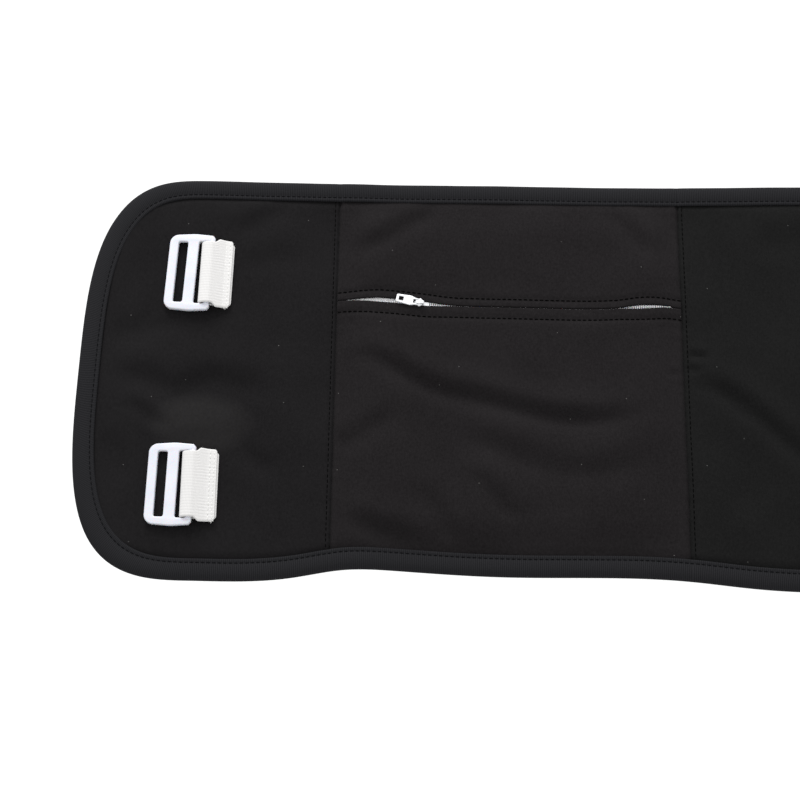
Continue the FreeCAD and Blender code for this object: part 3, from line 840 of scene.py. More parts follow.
# Half section of the tape folded over the raw edge: (inset from the edge, height).
BINDING_SECTION = [
    (12.3, 4.05), (12.2, 4.65), (11.7, 5.0), (10.9, 5.02), (10.3, 4.82), (9.6, 4.80), (8.9, 5.1),
    (7.4, 5.42), (5.4, 5.55), (3.4, 5.35), (1.7, 4.75), (0.6, 3.9), (0.05, 2.8), (0.2, 1.6),
    (0.9, 0.7), (2.2, 0.15), (5.0, 0.0), (9.0, 0.0), (12.0, 0.05), (12.2, 0.5), (12.0, 0.75),
    (6.0, 0.72), (2.6, 0.85), (1.3, 1.5), (1.1, 2.6), (1.6, 3.5), (3.2, 4.2), (6.0, 4.35),
    (9.5, 4.0),
]
BINDING_TOP = 5.6


def edge_route(panel, inset):
    """Plan line of the belt's edge along a panel, drawn in by inset, as one or two runs."""
    name, start, end = panel
    step = 3.0
    if not name.startswith("end"):
        u = stations(start, end, step, fine_near=SEAMS, fine=1.2, reach=12)
        return [np.stack(plan(u, side, inset), -1) for side in (1, -1)]
    sign = -1 if name.endswith("left") else 1
    straight = stations(OUTER_SEAM, BELT_END - CORNER_START, step, fine_near=SEAMS, fine=1.2, reach=20)
    bend = BELT_END - CORNER_START + CORNER_START * np.linspace(0, 1, CORNER_STEPS)[1:]
    u = np.concatenate([straight, bend])
    down = np.linspace(1, -1, 2 * CORNER_STEPS)[1:-1]
    route_u = np.concatenate([u, np.full(len(down), BELT_END), u[::-1]]) * sign
    route_v = np.concatenate([np.ones(len(u)), down, -np.ones(len(u))])
    return [np.stack(plan(route_u, route_v, inset), -1)]


def length_along(route):
    """Distance from a route's start to each of its points."""
    return np.concatenate([[0], np.cumsum(np.hypot(*np.diff(route, axis=0).T))])


def binding_lift(x, y):
    """The edge rises a little where the panel is drawn in at a seam, and rolls slightly elsewhere."""
    drawn = np.exp(-((np.abs(x) - OUTER_SEAM + 8) / 16) ** 2)
    return 0.5 * drawn + 0.16 * np.sin(x / 17.0 + 1.1) + 0.1 * np.sin(x / 6.3 + y / 40)


def binding_height(x, y, z):
    """Only the front of the tape rises; its back stays on the surface below."""
    seam = np.min([np.abs(x - s) for s in SEAMS], axis=0)
    dip = 0.35 * np.exp(-(seam / 1.6) ** 2)
    return z + (binding_lift(x, y) - dip) * ease((z - 1) / 3)


def binding_piece(panel):
    """Tape folded over the edge, swept along the panel's outline and closed at both ends."""
    points, faces, uv = [], [], []
    section = BINDING_SECTION
    count = len(section)
    across = np.concatenate([[0], np.cumsum(np.hypot(*np.diff(np.array(section), axis=0).T))])
    for run in range(len(edge_route(panel, 0))):
        base = len(points)
        routes = [edge_route(panel, inset)[run] for inset, _ in section]
        distance = length_along(routes[8])
        steps = len(distance)
        for i in range(steps):
            for k in range(count):
                x, y = routes[k][i]
                points.append((x, y, float(binding_height(x, y, section[k][1]))))
                uv.append((distance[i], across[k]))
        for i in range(steps - 1):
            for k in range(count):
                a, b = base + i * count + k, base + i * count + (k + 1) % count
                faces.append((a, b, b + count, a + count))
        last = base + (steps - 1) * count
        faces.append(tuple(base + k for k in range(count)))
        faces.append(tuple(last + k for k in range(count))[::-1])
    piece = outward(new_mesh("binding_" + panel[0], points, faces, uv))
    return dress(round_shading(piece, 60), BINDING)


# ---------------------------------------------------------------- stitches


def repeat_tree(name, sizes, make_one, rotated):
    """Geometry Nodes: one copy of a small shape on every Pitch of a line.

    sizes names the tree's other lengths; make_one adds the shape's nodes and returns its socket, and
    rotated copies turn to lie along the line.
    """
    tree = bpy.data.node_groups.new(name, "GeometryNodeTree")
    face = tree.interface
    face.new_socket("Geometry", in_out="INPUT", socket_type="NodeSocketGeometry")
    for size in ("Pitch", *sizes):
        face.new_socket(size, in_out="INPUT", socket_type="NodeSocketFloat")
    face.new_socket("Material", in_out="INPUT", socket_type="NodeSocketMaterial")
    face.new_socket("Geometry", in_out="OUTPUT", socket_type="NodeSocketGeometry")
    given = add(tree, "NodeGroupInput").outputs
    line = add(tree, "GeometryNodeMeshToCurve", {"Mesh": given["Geometry"]})
    spaced = add(tree, "GeometryNodeResampleCurve", {"Curve": line.outputs["Curve"],
                                                     "Length": given["Pitch"]}, mode="LENGTH")
    laid_by = {"Points": spaced.outputs["Curve"], "Instance": make_one(tree, given)}
    if rotated:
        tangent = add(tree, "GeometryNodeInputTangent")
        turn = add(tree, "FunctionNodeAlignRotationToVector", {"Vector": tangent.outputs["Tangent"]},
                   axis="X")
        laid_by["Rotation"] = turn.outputs["Rotation"]
    laid = add(tree, "GeometryNodeInstanceOnPoints", laid_by)
    whole = add(tree, "GeometryNodeRealizeInstances", {"Geometry": laid.outputs["Instances"]})
    painted = add(tree, "GeometryNodeSetMaterial", {"Geometry": whole.outputs["Geometry"],
                                                    "Material": given["Material"]})
    add(tree, "NodeGroupOutput", {"Geometry": painted.outputs["Geometry"]})
    return tree


def half_of(tree, socket):
    """Half of a length given to a tree."""
    node = add(tree, "ShaderNodeMath", {0: socket}, operation="MULTIPLY")
    node.inputs[1].default_value = 0.5
    return node.outputs[0]


def one_stitch(tree, given):
    """A thin capsule of thread."""
    ball = add(tree, "GeometryNodeMeshUVSphere", Segments=7, Rings=5)
    size = add(tree, "ShaderNodeCombineXYZ", {"X": half_of(tree, given["Stitch Length"]),
                                              "Y": given["Thread Radius"], "Z": given["Thread Radius"]})
    shaped = add(tree, "GeometryNodeTransform", {"Geometry": ball.outputs["Mesh"],
                                                 "Scale": size.outputs["Vector"]})
    return shaped.outputs["Geometry"]


def one_coil_loop(tree, given):
    """A ring of wire that stands across the zip."""
    ring = add(tree, "GeometryNodeCurvePrimitiveCircle", Resolution=9)
    half = half_of(tree, given["Loop Width"])
    size = add(tree, "ShaderNodeCombineXYZ", {"X": given["Wire Radius"], "Y": half, "Z": half})
    stood = add(tree, "GeometryNodeTransform", {"Geometry": ring.outputs["Curve"]},
                Rotation=(0, math.pi / 2, 0))
    shaped = add(tree, "GeometryNodeTransform", {"Geometry": stood.outputs["Geometry"],
                                                 "Scale": size.outputs["Vector"]})
    wire = add(tree, "GeometryNodeCurvePrimitiveCircle", {"Radius": given["Wire Radius"]}, Resolution=6)
    loop = add(tree, "GeometryNodeCurveToMesh", {"Curve": shaped.outputs["Geometry"],
                                                 "Profile Curve": wire.outputs["Curve"]})
    return loop.outputs["Mesh"]


STITCHES = repeat_tree("lay_stitches", ("Stitch Length", "Thread Radius"), one_stitch, True)
COILS = repeat_tree("lay_coil", ("Loop Width", "Wire Radius"), one_coil_loop, False)


def grown(piece, tree, **inputs):
    """Runs a Geometry Nodes tree on a piece and keeps the result as a plain mesh."""
    modifier = piece.modifiers.new("grow", "NODES")
    modifier.node_group = tree
    for item in tree.interface.items_tree:
        if item.item_type == "SOCKET" and item.in_out == "INPUT" and item.name in inputs:
            modifier[item.identifier] = inputs[item.name]
    bpy.context.view_layer.update()
    evaluated = piece.evaluated_get(bpy.context.evaluated_depsgraph_get())
    mesh = bpy.data.meshes.new_from_object(evaluated)
    piece.modifiers.clear()
    piece.data = mesh
    mesh.polygons.foreach_set("use_smooth", [True] * len(mesh.polygons))
    return piece


def lines_object(name, routes):
    """Edges along routes, each a list of points in millimetres."""
    points, edges = [], []
    for route in routes:
        base = len(points)
        points += [tuple(p) for p in route]
        edges += [(base + i, base + i + 1) for i in range(len(route) - 1)]
    mesh = bpy.data.meshes.new(name)
    mesh.from_pydata((np.array(points, float) * MM).tolist(), edges, [])
    return linked(name, mesh)


def stitched(name, routes, thread=BLACK_THREAD, pitch=STITCH_PITCH, length=2.5, radius=0.34):
    """Rows of stitches along routes, each a list of points in millimetres."""
    piece = lines_object(name, routes)
    grown(piece, STITCHES, **{"Pitch": pitch * MM, "Stitch Length": length * MM,
                              "Thread Radius": radius * MM, "Material": thread})
    return piece


def seam_row(x, y_low, y_high):
    """Topstitch along a vertical seam, on the cloth."""
    y = np.linspace(y_low, y_high, 120)
    x = np.full(y.shape, float(x))
    rim = np.minimum(edge_y(x, 1) - y, y - edge_y(x, -1))
    return np.stack([x, y, face_height(x, y, rim) + 0.05], -1)


def zip_row(start, end, offset):
    """Topstitch beside the slit."""
    x = np.linspace(start, end, 110)
    y = zip_y(x) + np.sign(offset) * (zip_gape(x) + abs(offset))
    rim = np.minimum(edge_y(x, 1) - y, y - edge_y(x, -1))
    return np.stack([x, y, zip_height(x, y, face_height(x, y, rim))[0] + 0.22], -1)


def build_bindings():
    """Edge tape of every panel with its rows of stitches, front and back."""
    for panel in PANELS:
        name = panel[0]
        region = name.split("_")[0]
        tape = binding_piece(panel)
        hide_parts("binding_" + (region if region == "centre" else name))
        ride_panel(tape, panel)
        front, back = [], []
        for route in edge_route(panel, 9.95):
            front.append([(x, y, float(binding_height(x, y, 4.86))) for x, y in route])
            back.append([(x, y, -0.02) for x, y in route])
        ride_panel(stitched("binding_stitches_" + name, front, BINDING_THREAD, radius=0.25),
                   panel)
        ride_panel(stitched("binding_back_stitches_" + name, back, BINDING_THREAD, radius=0.2), panel)


def build_topstitching():
    """Rows of stitches beside the seams and beside the slits."""
    for panel in PANELS:
        name, start, end = panel
        region, side = name.split("_")
        sign = -1 if side == "left" else 1
        if region == "pocket":
            rows = [zip_row(start + 1.5, end - 1.5, offset) for offset in (UPPER_ROW, -LOWER_ROW)]
            thread_radius = 0.34
        else:
            x = sign * (OUTER_SEAM + SEAM_STITCH if region == "end" else INNER_SEAM - SEAM_STITCH)
            thread_radius = 0.25
            rows = [seam_row(x, edge_y(x, -1) + BINDING_WIDTH, edge_y(x, 1) - BINDING_WIDTH)]
        ride_panel(stitched("topstitching_" + name, rows, radius=thread_radius), panel)


# ---------------------------------------------------------------- pocket contents and zip


def pocket_bag_piece(side):
    """Thin cloth behind the zip that makes the pocket."""
    low, high = extent("pocket_bag_" + side)
    sign = -1 if side == "left" else 1
    x0, x1 = sorted((sign * (INNER_SEAM + 2), sign * (OUTER_SEAM - 2)))
    x, y = np.meshgrid(np.linspace(x0, x1, 42), np.linspace(low[1] + 4, high[1] - 4, 40), indexing="ij")
    rim = HALF_HEIGHT - np.abs(y)
    top = np.minimum(low[2] + 0.45, face_height(x, y, rim) - CLOTH - 0.2)
    piece = slab("pocket_bag_cloth_" + side, x, y, top, top - 0.3)
    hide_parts("pocket_bag_" + side)
    dress(round_shading(piece), BAG_CLOTH)
    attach(piece, "pocket_" + side)


def shot_pad_piece(side):
    """Flexible pad of small shot, quilted in channels; it gives way under the folds of the face."""
    low, high = extent("shot_pad_" + side)
    x, y = np.meshgrid(np.linspace(low[0], high[0], 90), np.linspace(low[1], high[1], 60), indexing="ij")
    across = np.sin(math.pi * (x - low[0]) / (high[0] - low[0]) * 8)
    inside = np.minimum.reduce([x - low[0], high[0] - x, y - low[1], high[1] - y])
    round_in = np.sqrt(np.clip(inside / 8, 0, 1))
    wanted = low[2] + 0.7 + (high[2] - low[2] - 0.7) * round_in * (0.75 + 0.25 * np.abs(across))
    rim = HALF_HEIGHT - np.abs(y)
    roof = face_height(x, y, rim) - CLOTH - 0.3
    top = np.maximum(np.minimum(wanted, roof), low[2] + 0.3)
    piece = slab("shot_pad_quilted_" + side, x, y, top, np.full(x.shape, low[2]))
    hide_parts("shot_pad_" + side)
    dress(round_shading(piece), PAD_CLOTH)
    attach(piece, "pocket_" + side)


def zip_tape_piece(side, half, sign):
    """One of a zip's two tapes, flat under the slit."""
    node = "%s_%s" % (half, side)
    low, high = extent("zip_coil_upper_" + side)
    tape_low, tape_high = extent("zip_tape_" + node)
    places = np.linspace(low[0] - 1.5, high[0] + 1.5, 100)
    x, t = np.meshgrid(places, np.linspace(0, 1, 8), indexing="ij")
    y = ZIP_Y + sign * (0.3 + t * (tape_high[1] - tape_low[1] - 1.0))
    top = np.full(x.shape, tape_high[2]) - 0.1
    tape = slab("zip_tape_cloth_" + node, x, y[:, ::sign], top, top - 0.45)
    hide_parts("zip_tape_" + node)
    dress(round_shading(tape), ZIP_TAPE)
    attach(tape, "pocket_" + side)


def zip_coil_piece(side, half, sign):
    """One of a zip's two coils of nylon wire."""
    node = "%s_%s" % (half, side)
    low, high = extent("zip_coil_upper_" + side)
    middle = (low[2] + high[2]) / 2
    line = [(x, ZIP_Y + sign * 0.85, middle) for x in (low[0], high[0])]
    coil = lines_object("zip_coil_loops_" + node, [line])
    grown(coil, COILS, **{"Pitch": 1.1 * MM, "Loop Width": 1.9 * MM, "Wire Radius": 0.3 * MM,
                          "Material": COIL})
    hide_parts("zip_coil_" + node)
    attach(coil, "pocket_" + side)


def zip_stops_piece(side):
    """Crimped stops across the coils at both ends of a zip."""
    low, high = extent("zip_end_stops_" + side)
    crimps = []
    for x in (low[0] + 1, high[0] - 1):
        crimp = rounded_plate("crimp", rounded_box(-0.9, -1.4, 0.9, 1.4, 0.4), [], 0.7, 0.2)
        crimps.append(placed(crimp, at_point(x, ZIP_Y, low[2] + 0.35)))
    stops = joined("zip_end_crimps_" + side, crimps)
    dress(round_shading(stops), COIL)
    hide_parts("zip_end_stops_" + side)
    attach(stops, "pocket_" + side)


def mesh_of(curve):
    """Plain mesh of a curve, whose own object is removed."""
    holder = linked(curve.name, curve)
    bpy.context.view_layer.update()
    mesh = bpy.data.meshes.new_from_object(holder.evaluated_get(bpy.context.evaluated_depsgraph_get()))
    bpy.data.objects.remove(holder)
    return mesh


def rounded_plate(name, outline, holes, thickness, edge):
    """Flat plate with rounded edges, drawn round the origin; outline and holes are corner lists."""
    curve = bpy.data.curves.new(name, "CURVE")
    curve.dimensions = "2D"
    curve.fill_mode = "BOTH"
    curve.extrude = (thickness / 2 - edge) * MM
    curve.bevel_depth = edge * MM
    curve.bevel_resolution = 3
    curve.offset = -edge * MM
    for ring in [outline] + holes:
        line = curve.splines.new("POLY")
        line.points.add(len(ring) - 1)
        for point, (x, y) in zip(line.points, ring):
            point.co = (x * MM, y * MM, 0, 1)
        line.use_cyclic_u = True
    mesh = mesh_of(curve)
    work = bmesh.new()
    work.from_mesh(mesh)
    bmesh.ops.remove_doubles(work, verts=work.verts, dist=2e-6)
    bmesh.ops.recalc_face_normals(work, faces=work.faces)
    work.to_mesh(mesh)
    work.free()
    return linked(name, mesh)


def rounded_corners(corners, radius, steps=6):
    """Corner list with each corner replaced by an arc; radius is a number or one for each corner."""
    radii = radius if isinstance(radius, (list, tuple)) else [radius] * len(corners)
    ring = []
    for i, (corner, r) in enumerate(zip(corners, radii)):
        before = Vector(corners[i - 1]) - Vector(corner)
        after = Vector(corners[(i + 1) % len(corners)]) - Vector(corner)
        angle = before.angle(after)
        reach = r / math.tan(angle / 2)
        start = Vector(corner) + before.normalized() * reach
        end = Vector(corner) + after.normalized() * reach
        halfway = (before.normalized() + after.normalized()).normalized()
        centre = Vector(corner) + halfway * r / math.sin(angle / 2)
        first = start - centre
        sweep = first.angle_signed(end - centre)
        for k in range(steps + 1):
            turn = Matrix.Rotation(-sweep * k / steps, 2)
            ring.append(tuple(centre + turn @ first))
    return ring


def rounded_box(x0, y0, x1, y1, radius):
    """Corner list of an upright rectangle; radius is a number or one for each corner."""
    return rounded_corners([(x0, y0), (x1, y0), (x1, y1), (x0, y1)], radius)


def at_point(x, y, z):
    """Move to a point in millimetres."""
    return Matrix.Translation(Vector((x, y, z)) * MM)


def placed(piece, matrix):
    """Moves a piece's mesh, so that its object stays at the origin."""
    piece.data.transform(matrix)
    piece.data.update()
    return piece


def joined(name, pieces):
    """Several meshes as one piece."""
    work = bmesh.new()
    for piece in pieces:
        work.from_mesh(piece.data)
    mesh = bpy.data.meshes.new(name)
    work.to_mesh(mesh)
    work.free()
    for piece in pieces:
        bpy.data.objects.remove(piece)
    return linked(name, mesh)


def round_bar(name, radius, start, end, sides=20):
    """Plain round bar between two points, with rounded ends."""
    work = bmesh.new()
    a, b = Vector(start), Vector(end)
    length = (b - a).length
    profile = [(0, 0), (0.55 * radius, 0.02), (0.85 * radius, 0.12 * radius), (radius, 0.4 * radius)]
    profile += [(r, length - z) for r, z in profile[::-1]]
    rings = []
    for r, z in profile:
        ring = []
        for k in range(sides if r > 0 else 1):
            angle = 2 * math.pi * k / sides
            ring.append(work.verts.new((r * math.cos(angle) * MM, r * math.sin(angle) * MM, z * MM)))
        rings.append(ring)
    for low, high in zip(rings, rings[1:]):
        for k in range(sides):
            quad = [low[k % len(low)], low[(k + 1) % len(low)],
                    high[(k + 1) % len(high)], high[k % len(high)]]
            work.faces.new(list(dict.fromkeys(quad)))
    bmesh.ops.recalc_face_normals(work, faces=work.faces)
    mesh = bpy.data.meshes.new(name)
    work.to_mesh(mesh)
    work.free()
    turn = (b - a).to_track_quat("Z", "Y").to_matrix().to_4x4()
    return placed(linked(name, mesh), at_point(*a) @ turn)


UPPER_PLATE_HEIGHT = 5.95
POST_HEIGHT = 4.85
CROWN_REACH = 2.5


def slider_piece(side):
    """Zip slider: two shield-shaped plates, a post between the coils and a crown over the pull's pin."""
    low, high = extent("zip_slider_" + side)
    at = pivot("pull_tilt_" + side)
    sign = -1 if side == "left" else 1
    length, width = high[0] - low[0], high[1] - low[1]
    shield = [(-0.5, -0.3), (0.1, -0.5), (0.5, -0.36), (0.5, 0.36), (0.1, 0.5), (-0.5, 0.3)]
    outline = rounded_corners([(a * length, b * width) for a, b in shield], 0.8)
    middle = ((low[0] + high[0]) / 2, (low[1] + high[1]) / 2)
    parts = []
    for z in (low[2] + 0.3, UPPER_PLATE_HEIGHT):
        plate = rounded_plate("plate", outline, [], 0.55, 0.2)
        parts.append(placed(plate, at_point(*middle, z)))
    post = rounded_plate("post", rounded_box(-1.2, -0.3, 1.2, 0.3, 0.25), [], 2.2, 0.08)
    parts.append(placed(post, at_point(middle[0] + sign * 2.2, middle[1], POST_HEIGHT)))
    crown_top = high[2] - at[2] - 0.1
    crown = rounded_box(-CROWN_REACH, -1.9, CROWN_REACH, crown_top, [0.2, 0.2, 1.1, 1.1])
    window = rounded_box(-1.45, -0.95, 1.45, 0.82, 0.5)
    bridge = rounded_plate("bridge", crown, [window], 1.8, 0.35)
    upright = Matrix.Rotation(math.pi / 2, 4, "X")
    parts.append(placed(bridge, at_point(*at) @ upright))
    piece = joined("zip_slider_cast_" + side, parts)
    dress(round_shading(piece, 50), SLIDER)
    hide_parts("zip_slider_" + side)
    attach(piece, "slider_" + side)


def pull_piece(side):
    """Pull tab: widest in its middle, with a rectangular hole near its end and a pin at its root."""
    at = pivot("pull_tilt_" + side)
    axis = JOINTS["pull_tilt_" + side]["axis"]
    sign = -1 if side == "left" else 1
    outline = rounded_corners([(-1.2, -1.9), (2.6, -2.0), (5.6, -2.9), (13.6, -2.3), (13.9, -1.8),
                               (13.9, 1.8), (13.6, 2.3), (5.6, 2.9), (2.6, 2.0), (-1.2, 1.9)],
                              [0.5, 0.8, 1.6, 0.3, 0.3, 0.3, 0.3, 1.6, 0.8, 0.5])
    grip = rounded_box(9.6, -1.35, 12.4, 1.35, 0.3)
    throat = rounded_box(-0.75, -1.25, 3.9, 1.25, 0.3)
    tab = rounded_plate("tab", outline, [grip, throat], 1.15, 0.32)
    rib_outline = rounded_corners([(5.0, -1.5), (8.6, -1.3), (8.6, 1.3), (5.0, 1.5)], 0.5)
    rib = placed(rounded_plate("rib", rib_outline, [], 0.5, 0.2), at_point(0, 0, 0.45))
    pin = round_bar("pin", 0.6, (0, -2.4, 0), (0, 2.4, 0), 14)
    piece = joined("zip_pull_cast_" + side, [tab, rib, pin])
    yaw = math.atan2(axis[1] * -sign, axis[0] * -sign) - math.pi / 2
    turn = Matrix.Rotation(yaw, 4, "Z")
    if sign < 0:
        turn = turn @ Matrix.Rotation(math.pi, 4, "Z")
    placed(piece, at_point(*at) @ turn)
    dress(round_shading(piece, 50), SLIDER)
    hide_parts("zip_pull_tab_" + side)
    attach(piece, "pull_" + side)


def build_pockets():
    """What each pocket holds, and its zip."""
    for side in ("left", "right"):
        pocket_bag_piece(side)
        shot_pad_piece(side)
        for half, sign in (("upper", 1), ("lower", -1)):
            zip_tape_piece(side, half, sign)
            zip_coil_piece(side, half, sign)
        zip_stops_piece(side)
        slider_piece(side)
        pull_piece(side)


# ---------------------------------------------------------------- webbing


RIB_RISE = 0.07
WEBBING_HALF = 19.0       # half the webbing's width
WEBBING_RIBS = 23
LOOP_SPREAD = 2.3         # how much wider the loop's upper layer lies on each side past the frame
SPREAD_START = 2.2        # how far past the bar the buckle's frame lets go of a loop's upper layer


def ribbed_strip(name, route, half_width, thickness, spread=0.0):
    """Webbing along a route of (x, z) points; ribs run along it and show on both faces.

    spread is how much further the edges of a loop's upper layer reach, where nothing squeezes it.
    """
    route = np.array(route, float)
    tangent = np.gradient(route, axis=0)
    tangent /= np.linalg.norm(tangent, axis=1)[:, None]
    normal = np.stack([-tangent[:, 1], tangent[:, 0]], -1)
    distance = length_along(route)
    columns = WEBBING_RIBS * 4 + 1
    t = np.linspace(-1, 1, columns)
    wave = RIB_RISE * np.abs(np.sin(np.linspace(0, WEBBING_RIBS * math.pi, columns)))
    edge = np.sqrt(np.clip((1 - np.abs(t)) * half_width / 0.7, 0, 1))
    reach = thickness / 2 - RIB_RISE
    out = (reach + wave) * (0.25 + 0.75 * edge)
    last = distance[-1]
    points, uv = [], []
    for face in (1, -1):
        for p, n, d in zip(route, normal, distance):
            cut = half_width - 1.1 * (1 - math.sqrt(1 - max(0, 1 - min(d, last - d) / 1.3) ** 2))
            if d > last / 2:
                past = p[0] - SPREAD_START
                cut += spread * float(ease(past / 3.0)) * (1 - 0.025 * max(0, past))
            for j in range(columns):
                points.append((p[0] + n[0] * out[j] * face, t[j] * cut, p[1] + n[1] * out[j] * face))
                uv.append((d, t[j] * cut))
    piece = outward(new_mesh(name, points, two_faced(len(route), columns, True), uv))
    return dress(round_shading(piece, 60), WEBBING)


def arc_points(centre, radius, start, end, steps):
    """Points of an arc between two angles in degrees."""
    angles = np.radians(np.linspace(start, end, steps))
    return [(centre[0] + radius * math.cos(a), centre[1] + radius * math.sin(a)) for a in angles]


def even(points, step):
    """The same line with points a step apart."""
    points = np.array(points, float)
    distance = length_along(points)
    places = np.linspace(0, distance[-1], max(2, int(distance[-1] / step) + 1))
    return np.stack([np.interp(places, distance, points[:, k]) for k in range(points.shape[1])], -1)


def buckle_place(level):
    """Turn and place of a buckle's own drawing, whose loop bar lies on its Y axis."""
    joint = JOINTS["buckle_tilt_" + level]
    yaw = math.atan2(-joint["axis"][0], joint["axis"][1])
    return Matrix.Translation(Vector(joint["pos_m"])) @ Matrix.Rotation(yaw, 4, "Z")


BUCKLE_LEAN = math.radians(-3.6)
BUCKLE_HALF = 23.6        # half the frame's height
OUTER_BAR = 5.2
STRAP_SLOT = 5.6
CENTRE_BAR = 6.4
LOOP_SLOT = 6.2
BAR_WALL = 3.2            # of the frame beside the round bar that the loop is sewn round
BAR_RADIUS = 1.7


def buckle_piece(level):
    """Moulded slide buckle: frame with two slots, crowned ends and a round bar for the loop."""
    half, right = BUCKLE_HALF, BAR_RADIUS
    left = right - BAR_WALL - LOOP_SLOT - CENTRE_BAR - STRAP_SLOT - OUTER_BAR
    outline = rounded_corners([(left, -half + 0.8), (-10, -half - 0.3), (right - 1.4, -half + 0.5),
                               (right, -half + 2.2), (right, half - 2.2), (right - 1.4, half - 0.5),
                               (-10, half + 0.3), (left, half - 0.8)],
                              [5.2, 30, 1.0, 1.0, 1.0, 1.0, 30, 5.2], 8)
    strap_left = left + OUTER_BAR
    strap_slot = rounded_box(strap_left, -18.9, strap_left + STRAP_SLOT, 18.9, 1.2)
    loop_left = right - BAR_WALL - LOOP_SLOT
    loop_slot = rounded_box(loop_left, -19.3, right - BAR_WALL, 19.3, 1.2)
    plate = rounded_plate("frame", outline, [strap_slot, loop_slot], 3.0, 0.75)
    bar = round_bar("bar", BAR_RADIUS, (0, -20.5, 0), (0, 20.5, 0), 24)
    piece = joined("slide_buckle_moulded_" + level, [plate, bar])
    lean = Matrix.Rotation(BUCKLE_LEAN, 4, "Y")
    placed(piece, buckle_place(level) @ lean)
    dress(round_shading(piece, 45), BUCKLE)
    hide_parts("slide_buckle_" + level)
    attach(piece, "buckle_" + level)


def loop_end(level):
    """How far right of the bar the loop's sewn end lies."""
    return extent("webbing_loop_" + level)[1][0] - pivot("buckle_tilt_" + level)[0] + LOOP_TRIM[level]


LOOP_TURN = {"upper": 1.4, "lower": 1.2}      # degrees the sewn webbing is askew to the buckle
LOOP_TRIM = {"upper": -1.0, "lower": 0.8}     # how much longer or shorter it was cut than drawn
LOOP_SLOPE = 25           # degrees the upper layer comes down at from the bar
EYE_SLACK = 1.82          # the loop's eye is this much longer than round, and fills the buckle's slot


def loop_piece(level):
    """Webbing doubled round the buckle's bar, its two ends sewn down one on the other."""
    lowest = extent("webbing_loop_" + level)[0][2]
    thick = 1.4
    radius = pivot("buckle_tilt_" + level)[2] - lowest - thick / 2
    floor = -radius
    slope = math.radians(LOOP_SLOPE)
    end = loop_end(level)
    top_level = floor + thick
    knee = (radius - math.cos(slope) * top_level) / math.sin(slope)
    lower = [(end + 0.9, floor), (end - 4, floor), (end - 9, floor)]
    arc = arc_points((0, 0), radius, 270, 90 - LOOP_SLOPE, 24)
    eye = [(x * (EYE_SLACK if x < 0 else 1), z) for x, z in arc]
    upper = [(knee - 0.8, top_level + 0.33), (knee + 0.6, top_level + 0.04), (end - 1.5, top_level),
             (end, top_level - 0.1)]
    route = even(lower + eye + upper, 0.55)
    piece = ribbed_strip("webbing_loop_woven_" + level, route, WEBBING_HALF, thick, LOOP_SPREAD)
    place = buckle_place(level) @ Matrix.Rotation(math.radians(LOOP_TURN[level]), 4, "Z")
    placed(piece, place)
    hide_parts("webbing_loop_" + level)
    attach(piece, "end_left")
    z = floor + 1.5 * thick + 0.06
    row = [(end - 3.6, y, z) for y in np.linspace(-19, 19, 32)]
    corner = [(end - 1.4, y, z - 0.1) for y in np.linspace(-18.5, 18.5, 32)]
    rows = stitched("webbing_loop_stitches_" + level, [row, corner], WHITE_THREAD, 2.6, 2.3, 0.26)
    placed(rows, place)
    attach(rows, "end_left")
    fuzz_piece(level, end, floor + thick)


def fuzz_piece(level, end, z):
    """Loose thread ends where the webbing was cut, at its lower corner."""
    rng = np.random.default_rng(5 if level == "upper" else 6)
    curve = bpy.data.curves.new("cut_threads", "CURVE")
    curve.dimensions = "3D"
    curve.bevel_depth = 0.13 * MM
    curve.bevel_resolution = 1
    for _ in range(7):
        root = np.array([end - rng.uniform(0.2, 2.2), -19.9, z + rng.uniform(-0.6, 0.5)])
        way = np.array([rng.uniform(-0.5, 0.9), -1.0, rng.uniform(-0.2, 0.3)])
        size = rng.uniform(0.8, 1.7)
        bow = np.array([rng.uniform(-0.6, 0.6), 0, 0.3])
        line = curve.splines.new("POLY")
        line.points.add(4)
        for k, point in enumerate(line.points):
            t = k / 4
            place = root + way * size * t + bow * t * t
            point.co = (*(place * MM), 1)
    piece = placed(linked("webbing_loop_cut_threads_" + level, mesh_of(curve)), buckle_place(level))
    dress(piece, WHITE_THREAD)
    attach(piece, "end_left")


STRAP_BEND = 4.0          # reach to each side of where a strap lifts, given to bend
